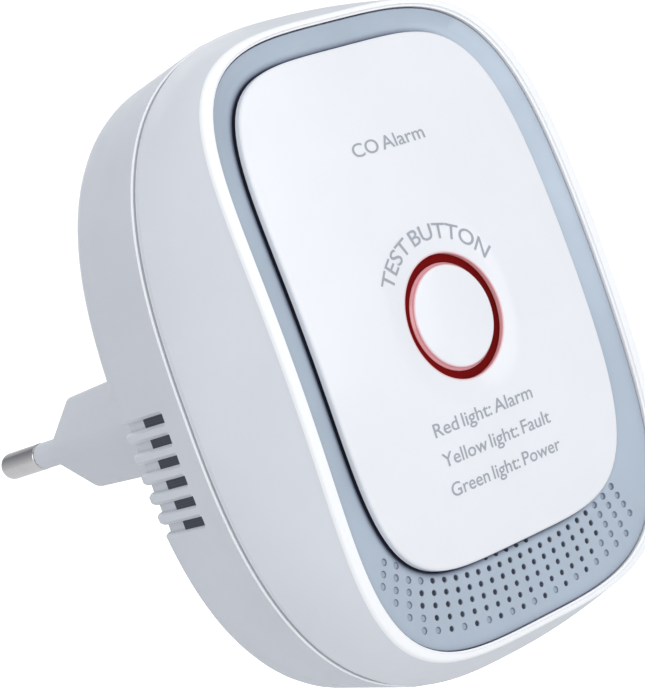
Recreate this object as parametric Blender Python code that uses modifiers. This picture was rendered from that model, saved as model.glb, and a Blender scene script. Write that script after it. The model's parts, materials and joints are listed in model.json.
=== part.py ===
"""Plug-in carbon monoxide detector, built as separate pieces.

Row frame, metres: +X to the viewer's right when facing the front, +Y into the wall socket, +Z up.
The origin is the centre of the plug's end face, midway between the two pins.
Sizes below are in millimetres, and a depth is measured back from the crown of the front plate.
"""
import math

import bmesh
import bpy
from mathutils import Matrix, Vector

MM = 0.001

# Driving dimensions, millimetres
PLUG_REACH = 73.0        # crown of the front plate to the plug's end face
BODY_RISE = 0.6          # body centre above the plug's axis
DOME = 0.0022            # crown of the front: depth gained per square millimetre of height
GAP = 0.3                # clearance between touching pieces
WALL = 1.8               # case wall
OUTLINE_STEPS = 52
ROUND_STEPS = 32

# Squircle outlines: half width, half height, and the exponent along each axis
PARTING = (33.5, 43.5, 2.7, 2.7)
RIM_OUTER = (29.2, 40.6, 3.6, 4.9)
RIM_INNER = (27.4, 39.6, 3.6, 4.9)
BEZEL = (27.1, 39.3, 3.6, 4.9)
PLATE = (23.4, 32.8, 4.5, 4.5)
PLATE_RISE = 3.3         # front plate's centre above the body's centre
PARTING_RISE = -0.4      # the case's widest outline, and the rear cover, sit this much lower

# Depths, millimetres
RIM_CREST = -0.6
BEZEL_INNER = 1.9        # bezel's face beside the front plate
BEZEL_OUTER = 0.1        # bezel's face beside the rim
BEZEL_THICK = 1.5
LEDGE = BEZEL_OUTER + BEZEL_THICK + GAP
PLATE_THICK = 3.0
PLATE_LIP = 1.0          # underside of the plate's edge, which floats above the bezel
PARTING_DEPTH = 15.0
BACK_DEPTH = 33.3
BACK_ROUND = 6.0
COVER_DRAFT = 1.1
TONGUE_THICK = 0.9       # lip of the rear cover that fits inside the housing's wall
TONGUE_LENGTH = 1.3
PLINTH_DEPTH = 47.0

# Test button and its light ring
BUTTON_RADIUS = 6.5
RING_RADIUS = 7.8
BUTTON_Z = -0.2          # above the body's centre
BUTTON_STEM = 1.8
BUTTON_THICK = 1.7
BUTTON_STEM_END = 7.2
BUTTON_SKIRT_END = 5.4
RING_SINK = 0.6          # front of the ring below the front plate
RING_END = 7.2
RING_FLANGE = 1.6        # width of the collar that the front plate holds down
PLUNGER_RADIUS = 1.4

# Vents
VENT_COUNT = 6
VENT_PITCH = 2.69
VENT_TOP = 0.1           # centre of the top slot above the body's centre
VENT_HEIGHT = 1.15
VENT_FRONT = 19.9
VENT_WINDOW_END = 25.0
VENT_GROOVE = 0.9        # depth of the groove behind each window

# Sound grille: each row's first and last column, from a short row half under the plate's edge
GRILLE_ROWS = ((-4, 1), (-8, 7), (-9, 7), (-9, 7), (-8, 6), (-7, 5))
GRILLE_ROW_PITCH = 1.507
GRILLE_PITCH = 1.903
GRILLE_SHIFT = -0.35     # the grid stands a little to the left of centre
GRILLE_TOP = -31.28      # middle of the first full row
GRILLE_BOW = (0.0065, 0.000006)   # rise of that row with the square and the fourth power of x
GRILLE_HOLE = 0.38

# Plug
PIN_SPACING = 19.0
PIN_LENGTH = 19.0
PIN_RADIUS = 2.0
SHANK_RADIUS = 1.35
SLEEVE_LENGTH = 10.0
SLEEVE_ROOT = 2.0        # length of the sleeve let into the plug's end face
BOSS_FLAT = 8.8          # half width of the boss's flat top
BOSS_TIP = 15.5          # half width to the corner where its slanted sides would meet
BOSS_HEIGHT = 6.85       # half height
BOSS_TIP_ROUND = 5.0
BOSS_DRAFT = 0.9         # growth of the half height down to the plinth
TENON = (12.6, 4.2)      # half width and half height of the tenon behind the boss
TENON_LENGTH = 6.3
PIN_ROOT = 36.4          # depth of the pins' inner ends
LUG_DEPTH = 38.2

# Boards: depths of their front faces, and half sizes of their outlines
MAIN_BOARD_DEPTH = 12.0
MAIN_BOARD = (24.0, 33.0, 5.0, 5.0)
POWER_BOARD_DEPTH = 26.0
POWER_BOARD = (34.0, 44.0)   # full width and height
POWER_BOARD_RISE = 3.0
BOARD_THICK = 1.6
BOARD_SCREWS = ((-13.8, 22.0), (13.8, 22.0), (-13.8, -15.4))

# Parts on the front of the main board
LAMP_ORBIT = 7.3         # lamps stand on this circle, under the light ring
LAMP_RADIUS = 1.2
SWITCH_SIZE = 6.0
SWITCH_HEIGHT = 3.0
PLUNGER_END = 10.4
BUZZER_Z = -24.6
BUZZER_RADIUS = 8.6
BUZZER_FRONT = 6.2
BUZZER_PORT = 2.0

# Parts between the boards: centre across, centre up, then sizes
SENSOR = (-11.5, -9.0, 6.8, 8.0)        # radius and length
FILTER_CAP_LENGTH = 1.5
CHIP = (11.0, -14.0, 7.0, 1.2)          # width and thickness
CONNECTOR = (0.0, 21.5, 12.7, 2.5)      # width and height
TRANSFORMER = (9.0, 4.0, 13.0, 10.0)    # width and depth
BULK_CAPACITOR_X = (-10.5, 9.5)
BULK_CAPACITOR = (14.9, 4.0, 10.0)      # height above centre, radius, length
FILTER_CAPACITOR = (13.5, -10.0)
FUSE = (4.5, -14.5, 2.1, 6.4)           # radius and length
VARISTOR = (8.2, -10.0, 3.6, 2.4)       # radius and thickness

# Case screws: centres from the body's centre
SCREW_X = 20.0
SCREW_Z = 29.0
SCREW_HEAD = 2.7
SCREW_SHANK = 1.25
SCREW_SINK = 3.0         # head top below the back face
SCREW_HEAD_THICK = 1.6
PILLAR_RADIUS = 3.0


# --- Scene and materials ---------------------------------------------------------------------

def clear_scene():
    for obj in list(bpy.data.objects):
        bpy.data.objects.remove(obj, do_unlink=True)


def collection(name):
    made = bpy.data.collections.new(name)
    bpy.context.scene.collection.children.link(made)
    return made


def material(name, color, roughness, metallic=0.0):
    made = bpy.data.materials.new(name)
    made.use_nodes = True
    shader = made.node_tree.nodes["Principled BSDF"]
    shader.inputs["Base Color"].default_value = (*color, 1.0)
    shader.inputs["Roughness"].default_value = roughness
    shader.inputs["Metallic"].default_value = metallic
    made.diffuse_color = (*color, 1.0)
    return made


# --- Outlines and solids ---------------------------------------------------------------------

def back(depth):
    """Row Y, in millimetres, of a point at this depth behind the front's crown."""
    return depth - PLUG_REACH


def squircle(half_w, half_h, exp_x, exp_z, steps=OUTLINE_STEPS):
    """Points of |x/w|^exp_x + |z/h|^exp_z = 1 at even polar angles."""
    points = []
    for i in range(steps):
        angle = math.tau * i / steps
        across = abs(math.cos(angle)) / half_w
        up = abs(math.sin(angle)) / half_h
        low = 0.0
        high = 1.5 * max(half_w, half_h)
        for _ in range(40):
            radius = (low + high) / 2
            if (radius * across) ** exp_x + (radius * up) ** exp_z > 1:
                high = radius
            else:
                low = radius
        points.append((radius * math.cos(angle), radius * math.sin(angle)))
    return points


def shrunk(outline, inset):
    """The same outline formula with both half sizes made smaller."""
    half_w, half_h, exp_x, exp_z = outline
    return (half_w - inset, half_h - inset, exp_x, exp_z)


def mixed(first, second, share):
    """An outline part of the way from one to another."""
    return tuple(a + (b - a) * share for a, b in zip(first, second))


def ring(outline, depth, dome=0.0, rise=0.0):
    """A closed ring of points at a depth, following the front's crown by the given share."""
    points = []
    for x, z in squircle(*outline):
        z += rise
        points.append(Vector((x, back(depth + dome * DOME * z * z), z + BODY_RISE)))
    return points


def loft(rings, closed=True):
    """Triangles between rings that follow a profile from the front centre round to the back."""
    bm = bmesh.new()
    rows = [[bm.verts.new(point) for point in points] for points in rings]
    pairs = list(zip(rows, rows[1:]))
    if closed:
        pairs.append((rows[-1], rows[0]))
    for near, far in pairs:
        for i in range(len(near)):
            j = (i + 1) % len(near)
            bm.faces.new((near[i], far[i], far[j], near[j]))
    if not closed:
        bm.faces.new(rows[0])
        bm.faces.new(list(reversed(rows[-1])))
    bmesh.ops.recalc_face_normals(bm, faces=bm.faces)
    bmesh.ops.triangulate(bm, faces=bm.faces)
    return bm


def add(name, bm, mat, home, origin=(0.0, 0.0, 0.0), smooth=True):
    """Make an object from a bmesh in millimetres, with its origin at a point in millimetres."""
    bm.transform(Matrix.Scale(MM, 4) @ Matrix.Translation(-Vector(origin)))
    mesh = bpy.data.meshes.new(name)
    bm.to_mesh(mesh)
    bm.free()
    if smooth:
        mesh.shade_smooth()
        mesh.set_sharp_from_angle(angle=math.radians(35))
    obj = bpy.data.objects.new(name, mesh)
    obj.location = Vector(origin) * MM
    if mat:
        mesh.materials.append(mat)
    home.objects.link(obj)
    return obj


def box(size, centre):
    bm = bmesh.new()
    bmesh.ops.create_cube(bm, size=1.0)
    bm.transform(Matrix.Translation(centre) @ Matrix.Diagonal((*size, 1.0)))
    return bm


def rod(radius, start, end, steps=ROUND_STEPS):
    """A cylinder between two points."""
    start = Vector(start)
    end = Vector(end)
    along = end - start
    bm = bmesh.new()
    bmesh.ops.create_cone(bm, cap_ends=True, segments=steps, radius1=radius, radius2=radius,
                          depth=along.length)
    turn = Vector((0, 0, 1)).rotation_difference(along).to_matrix().to_4x4()
    bm.transform(Matrix.Translation((start + end) / 2) @ turn)
    return bm


def merged(*parts):
    """Several bmeshes as one, for a cutter or for a union."""
    whole = bmesh.new()
    for part in parts:
        mesh = bpy.data.meshes.new("merge")
        part.to_mesh(mesh)
        part.free()
        whole.from_mesh(mesh)
        bpy.data.meshes.remove(mesh)
    return whole


def turned(name, profile, mat, home, centre, steps=ROUND_STEPS):
    """Turn a profile of (radius, depth) about an axis along Y.

    The profile lists its outer side from the back to the front.
    """
    bm = bmesh.new()
    verts = [bm.verts.new((radius * MM, 0.0, -rear * MM)) for radius, rear in reversed(profile)]
    for first, second in zip(verts, verts[1:]):
        bm.edges.new((first, second))
    if profile[0][0] > 0:
        bm.edges.new((verts[-1], verts[0]))
    mesh = bpy.data.meshes.new(name)
    bm.to_mesh(mesh)
    bm.free()
    obj = bpy.data.objects.new(name, mesh)
    obj.rotation_euler = (math.radians(90), 0.0, 0.0)
    obj.location = Vector(centre) * MM
    mesh.materials.append(mat)
    home.objects.link(obj)
    screw = obj.modifiers.new("Turn", "SCREW")
    screw.steps = steps
    screw.render_steps = steps
    screw.use_merge_vertices = True
    screw.merge_threshold = 0.00001
    screw.use_smooth_shade = True
    return obj


def wire(name, points, radius, mat, home):
    """An insulated lead: a tube along straight runs with eased corners."""
    curve = bpy.data.curves.new(name, "CURVE")
    curve.dimensions = "3D"
    curve.bevel_depth = radius * MM
    curve.bevel_resolution = 2
    curve.render_resolution_u = 0
    curve.use_fill_caps = True
    spline = curve.splines.new("POLY")
    spline.points.add(len(points) - 1)
    for slot, point in zip(spline.points, points):
        slot.co = (*(Vector(point) * MM), 1.0)
    curve.materials.append(mat)
    obj = bpy.data.objects.new(name, curve)
    home.objects.link(obj)


def eased(points, per_span=6):
    """Points on a smooth curve through the given ones."""
    pts = [Vector(p) for p in points]
    pts = [2 * pts[0] - pts[1]] + pts + [2 * pts[-1] - pts[-2]]
    path = []
    for i in range(1, len(pts) - 2):
        a, b, c, d = pts[i - 1:i + 3]
        for k in range(per_span):
            t = k / per_span
            path.append(0.5 * (2 * b + (c - a) * t + (2 * a - 5 * b + 4 * c - d) * t * t
                               + (3 * b - a - 3 * c + d) * t ** 3))
    path.append(pts[-2])
    return path


def bevelled(obj, width, segments=2):
    made = obj.modifiers.new("Bevel", "BEVEL")
    made.width = width * MM
    made.segments = segments
    made.limit_method = "ANGLE"
    made.angle_limit = math.radians(40)


def boolean(obj, bm, cutters, operation="DIFFERENCE"):
    """Cut or join an object with a shape in millimetres, which stays as a hidden guide."""
    tool = add(obj.name + "_tool", bm, None, cutters, smooth=False)
    tool.hide_render = True
    tool.display_type = "WIRE"
    made = obj.modifiers.new(operation.title(), "BOOLEAN")
    made.operation = operation
    made.object = tool


def screw_places():
    """Centres of the four case screws, left and right, bottom and top, about the widest outline."""
    for side in (-1, 1):
        for level in (-1, 1):
            yield side * SCREW_X, level * SCREW_Z + BODY_RISE + PARTING_RISE


# --- Case --------------------------------------------------------------------------------------

def front_housing(mat, home, cutters):
    """Flared side wall, proud rim, and a ledge that carries the bezel."""
    side = mixed(RIM_OUTER, PARTING, 0.35)
    flank = mixed(RIM_OUTER, PARTING, 0.75)
    side_rise = 0.35 * PARTING_RISE
    flank_rise = 0.75 * PARTING_RISE
    rings = [
        ring(shrunk(BEZEL, 2.6), LEDGE + 1.1, 1.0),
        ring(RIM_INNER, LEDGE, 1.0),
        ring(RIM_INNER, RIM_CREST + 0.5, 1.0),
        ring(shrunk(RIM_INNER, -0.4), RIM_CREST, 1.0),
        ring(shrunk(RIM_OUTER, 0.5), RIM_CREST, 1.0),
        ring(RIM_OUTER, RIM_CREST + 0.8, 1.0),
        ring(side, 3.4, 0.75, side_rise),
        ring(flank, 9.0, 0.3, flank_rise),
        ring(PARTING, PARTING_DEPTH - GAP / 2, 0.0, PARTING_RISE),
        ring(shrunk(PARTING, WALL), PARTING_DEPTH - GAP / 2, 0.0, PARTING_RISE),
        ring(shrunk(flank, WALL + 0.2), 9.2, 0.3, flank_rise),
        ring(shrunk(side, WALL + 0.5), 5.6, 0.75, side_rise),
        ring(shrunk(BEZEL, 2.6), LEDGE + 2.1, 1.0),
    ]
    obj = add("front_housing", loft(rings), mat, home)
    for x, z in screw_places():
        shoulder = MAIN_BOARD_DEPTH - GAP
        rib_x = x + math.copysign(3.6, x)
        boolean(obj, rod(PILLAR_RADIUS, (x, back(5.9), z), (x, back(17.5), z), 16), cutters, "UNION")
        boolean(obj, rod(PILLAR_RADIUS + 1.0, (x, back(6.1), z), (x, back(shoulder), z), 16), cutters,
                "UNION")
        boolean(obj, box((4.2, 5.0, 1.2), (rib_x, back(8.9), z)), cutters, "UNION")
    for x, z in screw_places():
        boolean(obj, rod(SCREW_SHANK - 0.1, (x, back(9.5), z), (x, back(20.0), z), 10), cutters)


def rear_cover(mat, home, cutters):
    """Shallow back shell with a rounded edge, a plinth for the plug, side vents and screw wells."""
    straight = BACK_DEPTH - BACK_ROUND
    drafted = shrunk(PARTING, COVER_DRAFT)
    mouth = (TENON[0] + GAP, TENON[1] + GAP, 4.0, 4.0)
    rings = [
        ring(PARTING, PARTING_DEPTH + GAP / 2, rise=PARTING_RISE),
        ring(drafted, straight, rise=PARTING_RISE),
    ]
    for angle in (math.radians(30), math.radians(60), math.radians(90)):
        inset = BACK_ROUND * (1 - math.cos(angle))
        depth = straight + BACK_ROUND * math.sin(angle)
        rings.append(ring(shrunk(drafted, inset), depth, rise=PARTING_RISE))
    rings += [
        ring((23.6, 17.6, 3.0, 3.0), BACK_DEPTH),
        ring((22.4, 16.4, 3.0, 3.0), BACK_DEPTH + 1.2),
        ring((17.6, 12.0, 2.8, 2.8), PLINTH_DEPTH - 1.0),
        ring((16.7, 11.1, 2.8, 2.8), PLINTH_DEPTH),
        ring(mouth, PLINTH_DEPTH, rise=-BODY_RISE),
        ring(mouth, PLINTH_DEPTH - 2.0, rise=-BODY_RISE),
        ring((15.4, 9.8, 2.8, 2.8), PLINTH_DEPTH - 2.0),
        ring((20.4, 14.4, 3.0, 3.0), BACK_DEPTH - WALL),
    ]
    round_inside = BACK_ROUND - WALL
    for angle in (math.radians(90), math.radians(45)):
        inset = WALL + round_inside * (1 - math.cos(angle))
        depth = straight + round_inside * math.sin(angle)
        rings.append(ring(shrunk(drafted, inset), depth, rise=PARTING_RISE))
    tongue_outside = shrunk(PARTING, WALL + GAP)
    tongue_inside = shrunk(PARTING, WALL + GAP + TONGUE_THICK)
    rings += [
        ring(shrunk(drafted, WALL), straight, rise=PARTING_RISE),
        ring(tongue_inside, PARTING_DEPTH + 3.0, rise=PARTING_RISE),
        ring(tongue_inside, PARTING_DEPTH - TONGUE_LENGTH, rise=PARTING_RISE),
        ring(tongue_outside, PARTING_DEPTH - TONGUE_LENGTH, rise=PARTING_RISE),
        ring(tongue_outside, PARTING_DEPTH + GAP / 2, rise=PARTING_RISE),
    ]
    obj = add("rear_cover", loft(rings), mat, home)
    well_floor = BACK_DEPTH - SCREW_SINK - SCREW_HEAD_THICK
    behind = BACK_DEPTH + 6.0
    for x, z in screw_places():
        boolean(obj, rod(PILLAR_RADIUS + 0.7, (x, back(18.2), z), (x, back(BACK_DEPTH - 0.4), z), 16),
                cutters, "UNION")
        boolean(obj, rod(SCREW_HEAD + GAP, (x, back(well_floor), z), (x, back(behind), z), 16), cutters)
        boolean(obj, rod(SCREW_SHANK + GAP, (x, back(10.0), z), (x, back(behind), z), 10), cutters)
    post_front = POWER_BOARD_DEPTH + BOARD_THICK + GAP
    for x, z in board_screw_places():
        boolean(obj, rod(2.4, (x, back(post_front), z), (x, back(32.2), z), 12), cutters, "UNION")
        boolean(obj, rod(1.15, (x, back(26.0), z), (x, back(31.3), z), 12), cutters)
    for side in (-1, 1):
        boolean(obj, vent_windows(side), cutters)
        boolean(obj, vent_grooves(side), cutters)


def half_width_at(outline, z):
    """Half width of an outline at a height above its centre."""
    half_w, half_h, exp_x, exp_z = outline
    return half_w * (1 - (abs(z) / half_h) ** exp_z) ** (1 / exp_x)


def vent_levels():
    """Heights of the slots above the body's centre, and the cover's half width at each."""
    for i in range(VENT_COUNT):
        z = VENT_TOP - VENT_PITCH * i
        yield z, half_width_at(shrunk(PARTING, COVER_DRAFT), z - PARTING_RISE)


def vent_windows(side):
    """The slots' through openings at one side."""
    middle = back((VENT_FRONT + VENT_WINDOW_END) / 2)
    size = (6.0, VENT_WINDOW_END - VENT_FRONT, VENT_HEIGHT)
    parts = []
    for z, reach in vent_levels():
        parts.append(box(size, (side * (reach - 1.0), middle, z + BODY_RISE)))
    return merged(*parts)


def vent_grooves(side):
    """Shallow grooves that carry each slot from its window round the back edge."""
    straight = BACK_DEPTH - BACK_ROUND
    start = VENT_WINDOW_END - 0.1
    floor = BACK_ROUND - VENT_GROOVE
    clear = BACK_ROUND + 2.0
    half = VENT_HEIGHT / 2
    parts = []
    for z, reach in vent_levels():
        hub = reach - BACK_ROUND
        path = [(hub + floor, start)]
        rim = [(hub + clear, start)]
        for k in range(6):
            angle = math.radians(15 * k)
            path.append((hub + floor * math.cos(angle), straight + floor * math.sin(angle)))
            rim.append((hub + clear * math.cos(angle), straight + clear * math.sin(angle)))
        flat = path + list(reversed(rim))
        rings = []
        for level in (z - half + BODY_RISE, z + half + BODY_RISE):
            rings.append([Vector((side * x, back(depth), level)) for x, depth in flat])
        parts.append(loft(rings, closed=False))
    return merged(*parts)


def case_screws(mat, home, cutters):
    """Four self-tapping screws with cross recesses, seen from behind."""
    seat = BACK_DEPTH - SCREW_SINK - SCREW_HEAD_THICK + GAP
    top = seat + SCREW_HEAD_THICK
    core = SCREW_SHANK - 0.4
    for n, (x, z) in enumerate(screw_places(), start=1):
        profile = [
            (0.0, top), (SCREW_HEAD * 0.7, top - 0.1), (SCREW_HEAD, top - 0.7), (SCREW_HEAD, seat),
            (core, seat), (core, 12.0), (0.0, 10.6),
        ]
        obj = turned(f"case_screw_{n}", profile, mat, home, (x, back(0.0), z), 16)
        for size in ((0.7, 2.0, 3.0), (3.0, 2.0, 0.7)):
            boolean(obj, box(size, (x, back(top + 0.6), z)), cutters)


# --- Front ---------------------------------------------------------------------------------------

def grille_places():
    """Centres of the sound holes: rows that bow up towards the corners, and columns square to them.

    The last row has every second hole.
    """
    square, fourth = GRILLE_BOW
    last_row = len(GRILLE_ROWS) - 2
    for row, (first, last) in enumerate(GRILLE_ROWS, start=-1):
        step = 2 if row == last_row else 1
        for column in range(first, last + 1, step):
            x = GRILLE_PITCH * column + GRILLE_SHIFT
            z = GRILLE_TOP + square * x ** 2 + fourth * x ** 4
            slope = 2 * square * x + 4 * fourth * x ** 3
            drop = GRILLE_ROW_PITCH * row / math.hypot(1.0, slope)
            yield x + drop * slope, z - drop


def bezel(mat, home, cutters):
    """Recessed trim plate round the front plate, with the sound holes along its wide bottom."""
    mouth = shrunk(PLATE, 1.6)
    rings = [
        ring(mouth, BEZEL_INNER, 1.0, PLATE_RISE),
        ring(shrunk(BEZEL, 0.5), BEZEL_OUTER, 1.0),
        ring(BEZEL, BEZEL_OUTER + 0.5, 1.0),
        ring(BEZEL, BEZEL_OUTER + BEZEL_THICK, 1.0),
        ring(mouth, BEZEL_INNER + BEZEL_THICK, 1.0, PLATE_RISE),
    ]
    obj = add("grille_bezel", loft(rings), mat, home)
    holes = []
    for x, z in grille_places():
        level = BEZEL_OUTER + DOME * z * z
        up = z + BODY_RISE
        holes.append(rod(GRILLE_HOLE, (x, back(level - 2.0), up), (x, back(level + 4.0), up), 6))
    boolean(obj, merged(*holes), cutters)


def front_plate(mat, home):
    """Crowned white plate with a soft edge and a round opening for the light ring."""
    opening = RING_RADIUS + GAP
    hole = (opening, opening, 2.0, 2.0)
    halfway = (BUTTON_Z + PLATE_RISE) / 2
    foot = shrunk(PLATE, 2.1)
    rings = [
        ring(hole, 0.0, 1.0, BUTTON_Z),
        ring(mixed(hole, PLATE, 0.5), 0.0, 1.0, halfway),
        ring(shrunk(PLATE, 1.0), 0.0, 1.0, PLATE_RISE),
        ring(shrunk(PLATE, 0.3), 0.3, 1.0, PLATE_RISE),
        ring(PLATE, 0.7, 1.0, PLATE_RISE),
        ring(PLATE, PLATE_LIP, 1.0, PLATE_RISE),
        ring(foot, PLATE_LIP + 0.1, 1.0, PLATE_RISE),
        ring(foot, PLATE_THICK, 1.0, PLATE_RISE),
        ring(hole, PLATE_THICK, 1.0, BUTTON_Z),
    ]
    add("front_plate", loft(rings), mat, home)


def light_ring(mat, home):
    """Translucent light guide round the button, with a skirt that reaches the indicator lamps."""
    inner = BUTTON_RADIUS + GAP
    flange = RING_RADIUS + RING_FLANGE
    under_plate = PLATE_THICK + GAP
    profile = [
        (RING_RADIUS - 0.4, RING_END), (RING_RADIUS, RING_END - 0.4), (RING_RADIUS, under_plate + 0.8),
        (flange, under_plate + 0.8), (flange, under_plate), (RING_RADIUS, under_plate),
        (RING_RADIUS, RING_SINK + 0.4), (RING_RADIUS - 0.2, RING_SINK), (inner + 0.2, RING_SINK),
        (inner, RING_SINK + 0.2), (inner, RING_END - 0.3), (inner + 0.3, RING_END),
    ]
    turned("light_ring", profile, mat, home, (0.0, back(0.0), BUTTON_Z + BODY_RISE), 36)


def test_button(mat, home):
    """Round push cap, flush with the plate, on a hollow stem that meets the switch."""
    radius = BUTTON_RADIUS
    bore = radius - 0.9
    profile = [
        (0.0, BUTTON_STEM_END), (BUTTON_STEM, BUTTON_STEM_END), (BUTTON_STEM, BUTTON_THICK),
        (bore, BUTTON_THICK), (bore, BUTTON_SKIRT_END), (radius, BUTTON_SKIRT_END),
        (radius, 0.4), (radius - 0.35, 0.05), (radius - 1.6, -0.1), (0.0, -0.15),
    ]
    turned("test_button", profile, mat, home, (0.0, back(0.0), BUTTON_Z + BODY_RISE), 36)


# --- Main board ----------------------------------------------------------------------------------

def main_board(mat, home, cutters):
    """Main board with clearance holes for the case's four pillars."""
    faces = []
    for depth in (MAIN_BOARD_DEPTH, MAIN_BOARD_DEPTH + BOARD_THICK):
        faces.append(ring(MAIN_BOARD, depth))
    obj = add("main_board", loft(faces, closed=False), mat, home)
    for x, z in screw_places():
        boolean(obj, rod(PILLAR_RADIUS + GAP, (x, back(8.0), z), (x, back(16.0), z), 16), cutters)


def switch_body(mat, home, cutters):
    """Square tactile switch with a blind bore for its plunger."""
    z = BUTTON_Z + BODY_RISE
    near = MAIN_BOARD_DEPTH - GAP - SWITCH_HEIGHT
    bore_end = SWITCH_HEIGHT - 0.6
    obj = add("switch_body", box((SWITCH_SIZE, SWITCH_HEIGHT, SWITCH_SIZE),
                                 (0.0, back(near + SWITCH_HEIGHT / 2), z)), mat, home, smooth=False)
    bevelled(obj, 0.4, 1)
    bore = rod(PLUNGER_RADIUS + GAP, (0.0, back(near - 2.0), z), (0.0, back(near + bore_end), z), 16)
    boolean(obj, bore, cutters)


def switch_plunger(mat, home):
    """Round actuator of the tactile switch, one gap behind the button's stem."""
    radius = PLUNGER_RADIUS
    near = BUTTON_STEM_END + GAP
    profile = [
        (0.0, PLUNGER_END), (radius, PLUNGER_END), (radius, near + 0.2), (radius - 0.2, near),
        (0.0, near),
    ]
    turned("switch_plunger", profile, mat, home, (0.0, back(0.0), BUTTON_Z + BODY_RISE), 16)


def indicator_lamps(mats, home):
    """Red, yellow and green lamps, spaced evenly under the light ring."""
    foot = MAIN_BOARD_DEPTH - GAP
    collar = LAMP_RADIUS + 0.3
    profile = [
        (0.0, foot), (collar, foot), (collar, foot - 0.7), (LAMP_RADIUS, foot - 0.9),
        (LAMP_RADIUS, 8.8), (LAMP_RADIUS * 0.7, 7.95), (0.0, 7.6),
    ]
    for name, mat, angle in zip(("lamp_red", "lamp_yellow", "lamp_green"), mats, (90, 210, 330)):
        x = LAMP_ORBIT * math.cos(math.radians(angle))
        z = LAMP_ORBIT * math.sin(math.radians(angle)) + BUTTON_Z + BODY_RISE
        turned(name, profile, mat, home, (x, back(0.0), z), 14)


def buzzer(mats, home):
    """Sounder: a round case with a port towards the grille, and a brass disc inside."""
    case_mat, disc_mat = mats
    centre = (0.0, back(0.0), BUZZER_Z + BODY_RISE)
    foot = MAIN_BOARD_DEPTH - GAP
    bore = BUZZER_RADIUS - 1.2
    shelf = BUZZER_FRONT + 0.8
    case = [
        (BUZZER_RADIUS, foot), (BUZZER_RADIUS, BUZZER_FRONT), (BUZZER_PORT, BUZZER_FRONT),
        (BUZZER_PORT, shelf), (bore, shelf), (bore, foot),
    ]
    turned("buzzer_case", case, case_mat, home, centre, 28)
    disc = bore - 0.4
    plate = [(0.0, 9.5), (disc, 9.5), (disc, 9.1), (0.0, 9.1)]
    turned("buzzer_disc", plate, disc_mat, home, centre, 28)


def gas_sensor(mats, home):
    """Electrochemical cell: a round can with a filter cap that has a gas inlet."""
    can_mat, cap_mat = mats
    x, z, radius, length = SENSOR
    centre = (x, back(0.0), z + BODY_RISE)
    near = MAIN_BOARD_DEPTH + BOARD_THICK + GAP
    far = near + length
    soft = 0.6
    can = [
        (0.0, far), (radius - soft, far), (radius, far - soft), (radius, near + soft),
        (radius - soft, near), (0.0, near),
    ]
    turned("gas_sensor", can, can_mat, home, centre, 28)
    cap_near = far + GAP
    cap_far = cap_near + FILTER_CAP_LENGTH
    rim = radius - soft
    inlet = 1.2
    cap = [
        (inlet, cap_far), (rim - soft, cap_far), (rim, cap_far - soft), (rim, cap_near),
        (inlet, cap_near),
    ]
    turned("sensor_filter_cap", cap, cap_mat, home, centre, 28)


def controller_chip(mat, home):
    """Flat square chip on the back of the main board."""
    x, z, width, thick = CHIP
    near = MAIN_BOARD_DEPTH + BOARD_THICK + GAP
    shape = box((width, thick, width), (x, back(near + thick / 2), z + BODY_RISE))
    bevelled(add("controller_chip", shape, mat, home, smooth=False), 0.25, 1)


def board_connector(mat, home):
    """Header that joins the two boards."""
    x, z, width, height = CONNECTOR
    near = MAIN_BOARD_DEPTH + BOARD_THICK + GAP
    far = POWER_BOARD_DEPTH - GAP
    shape = box((width, far - near, height), (x, back((near + far) / 2), z + BODY_RISE))
    bevelled(add("board_connector", shape, mat, home, smooth=False), 0.3, 1)


# --- Power board ---------------------------------------------------------------------------------

def board_screw_places():
    """Centres of the three screws that hold the power board to posts on the cover."""
    return [(x, z + BODY_RISE) for x, z in BOARD_SCREWS]


def power_board(mat, home, cutters):
    """Mains board at the back, with a clearance hole for each of its screws."""
    width, height = POWER_BOARD
    middle = back(POWER_BOARD_DEPTH + BOARD_THICK / 2)
    shape = box((width, BOARD_THICK, height), (0.0, middle, POWER_BOARD_RISE + BODY_RISE))
    obj = add("power_board", shape, mat, home, smooth=False)
    for x, z in board_screw_places():
        boolean(obj, rod(1.3, (x, back(24.0), z), (x, back(30.0), z), 12), cutters)


def board_screws(mat, home):
    """Three small pan-head screws, driven from the front into the cover's posts."""
    seat = POWER_BOARD_DEPTH - GAP
    profile = [
        (0.0, 31.0), (0.9, 30.4), (0.9, seat), (2.0, seat), (2.0, seat - 0.7), (1.4, seat - 1.3),
        (0.0, seat - 1.4),
    ]
    for n, (x, z) in enumerate(board_screw_places(), start=1):
        turned(f"board_screw_{n}", profile, mat, home, (x, back(0.0), z), 12)


def transformer(mats, home, cutters):
    """Small switching transformer: a ferrite core round a wound bobbin."""
    core_mat, coil_mat = mats
    x, z, width, deep = TRANSFORMER
    centre = (x, back(POWER_BOARD_DEPTH - GAP - deep / 2), z + BODY_RISE)
    core = add("transformer_core", box((width, deep, width), centre), core_mat, home, smooth=False)
    boolean(core, box((width - 5.4, deep * 2, width - 3.4), centre), cutters)
    winding = box((width - 6.0, deep - 1.4, width - 4.0), centre)
    coil = add("transformer_coil", winding, coil_mat, home, smooth=False)
    bevelled(coil, 0.8, 2)


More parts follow.
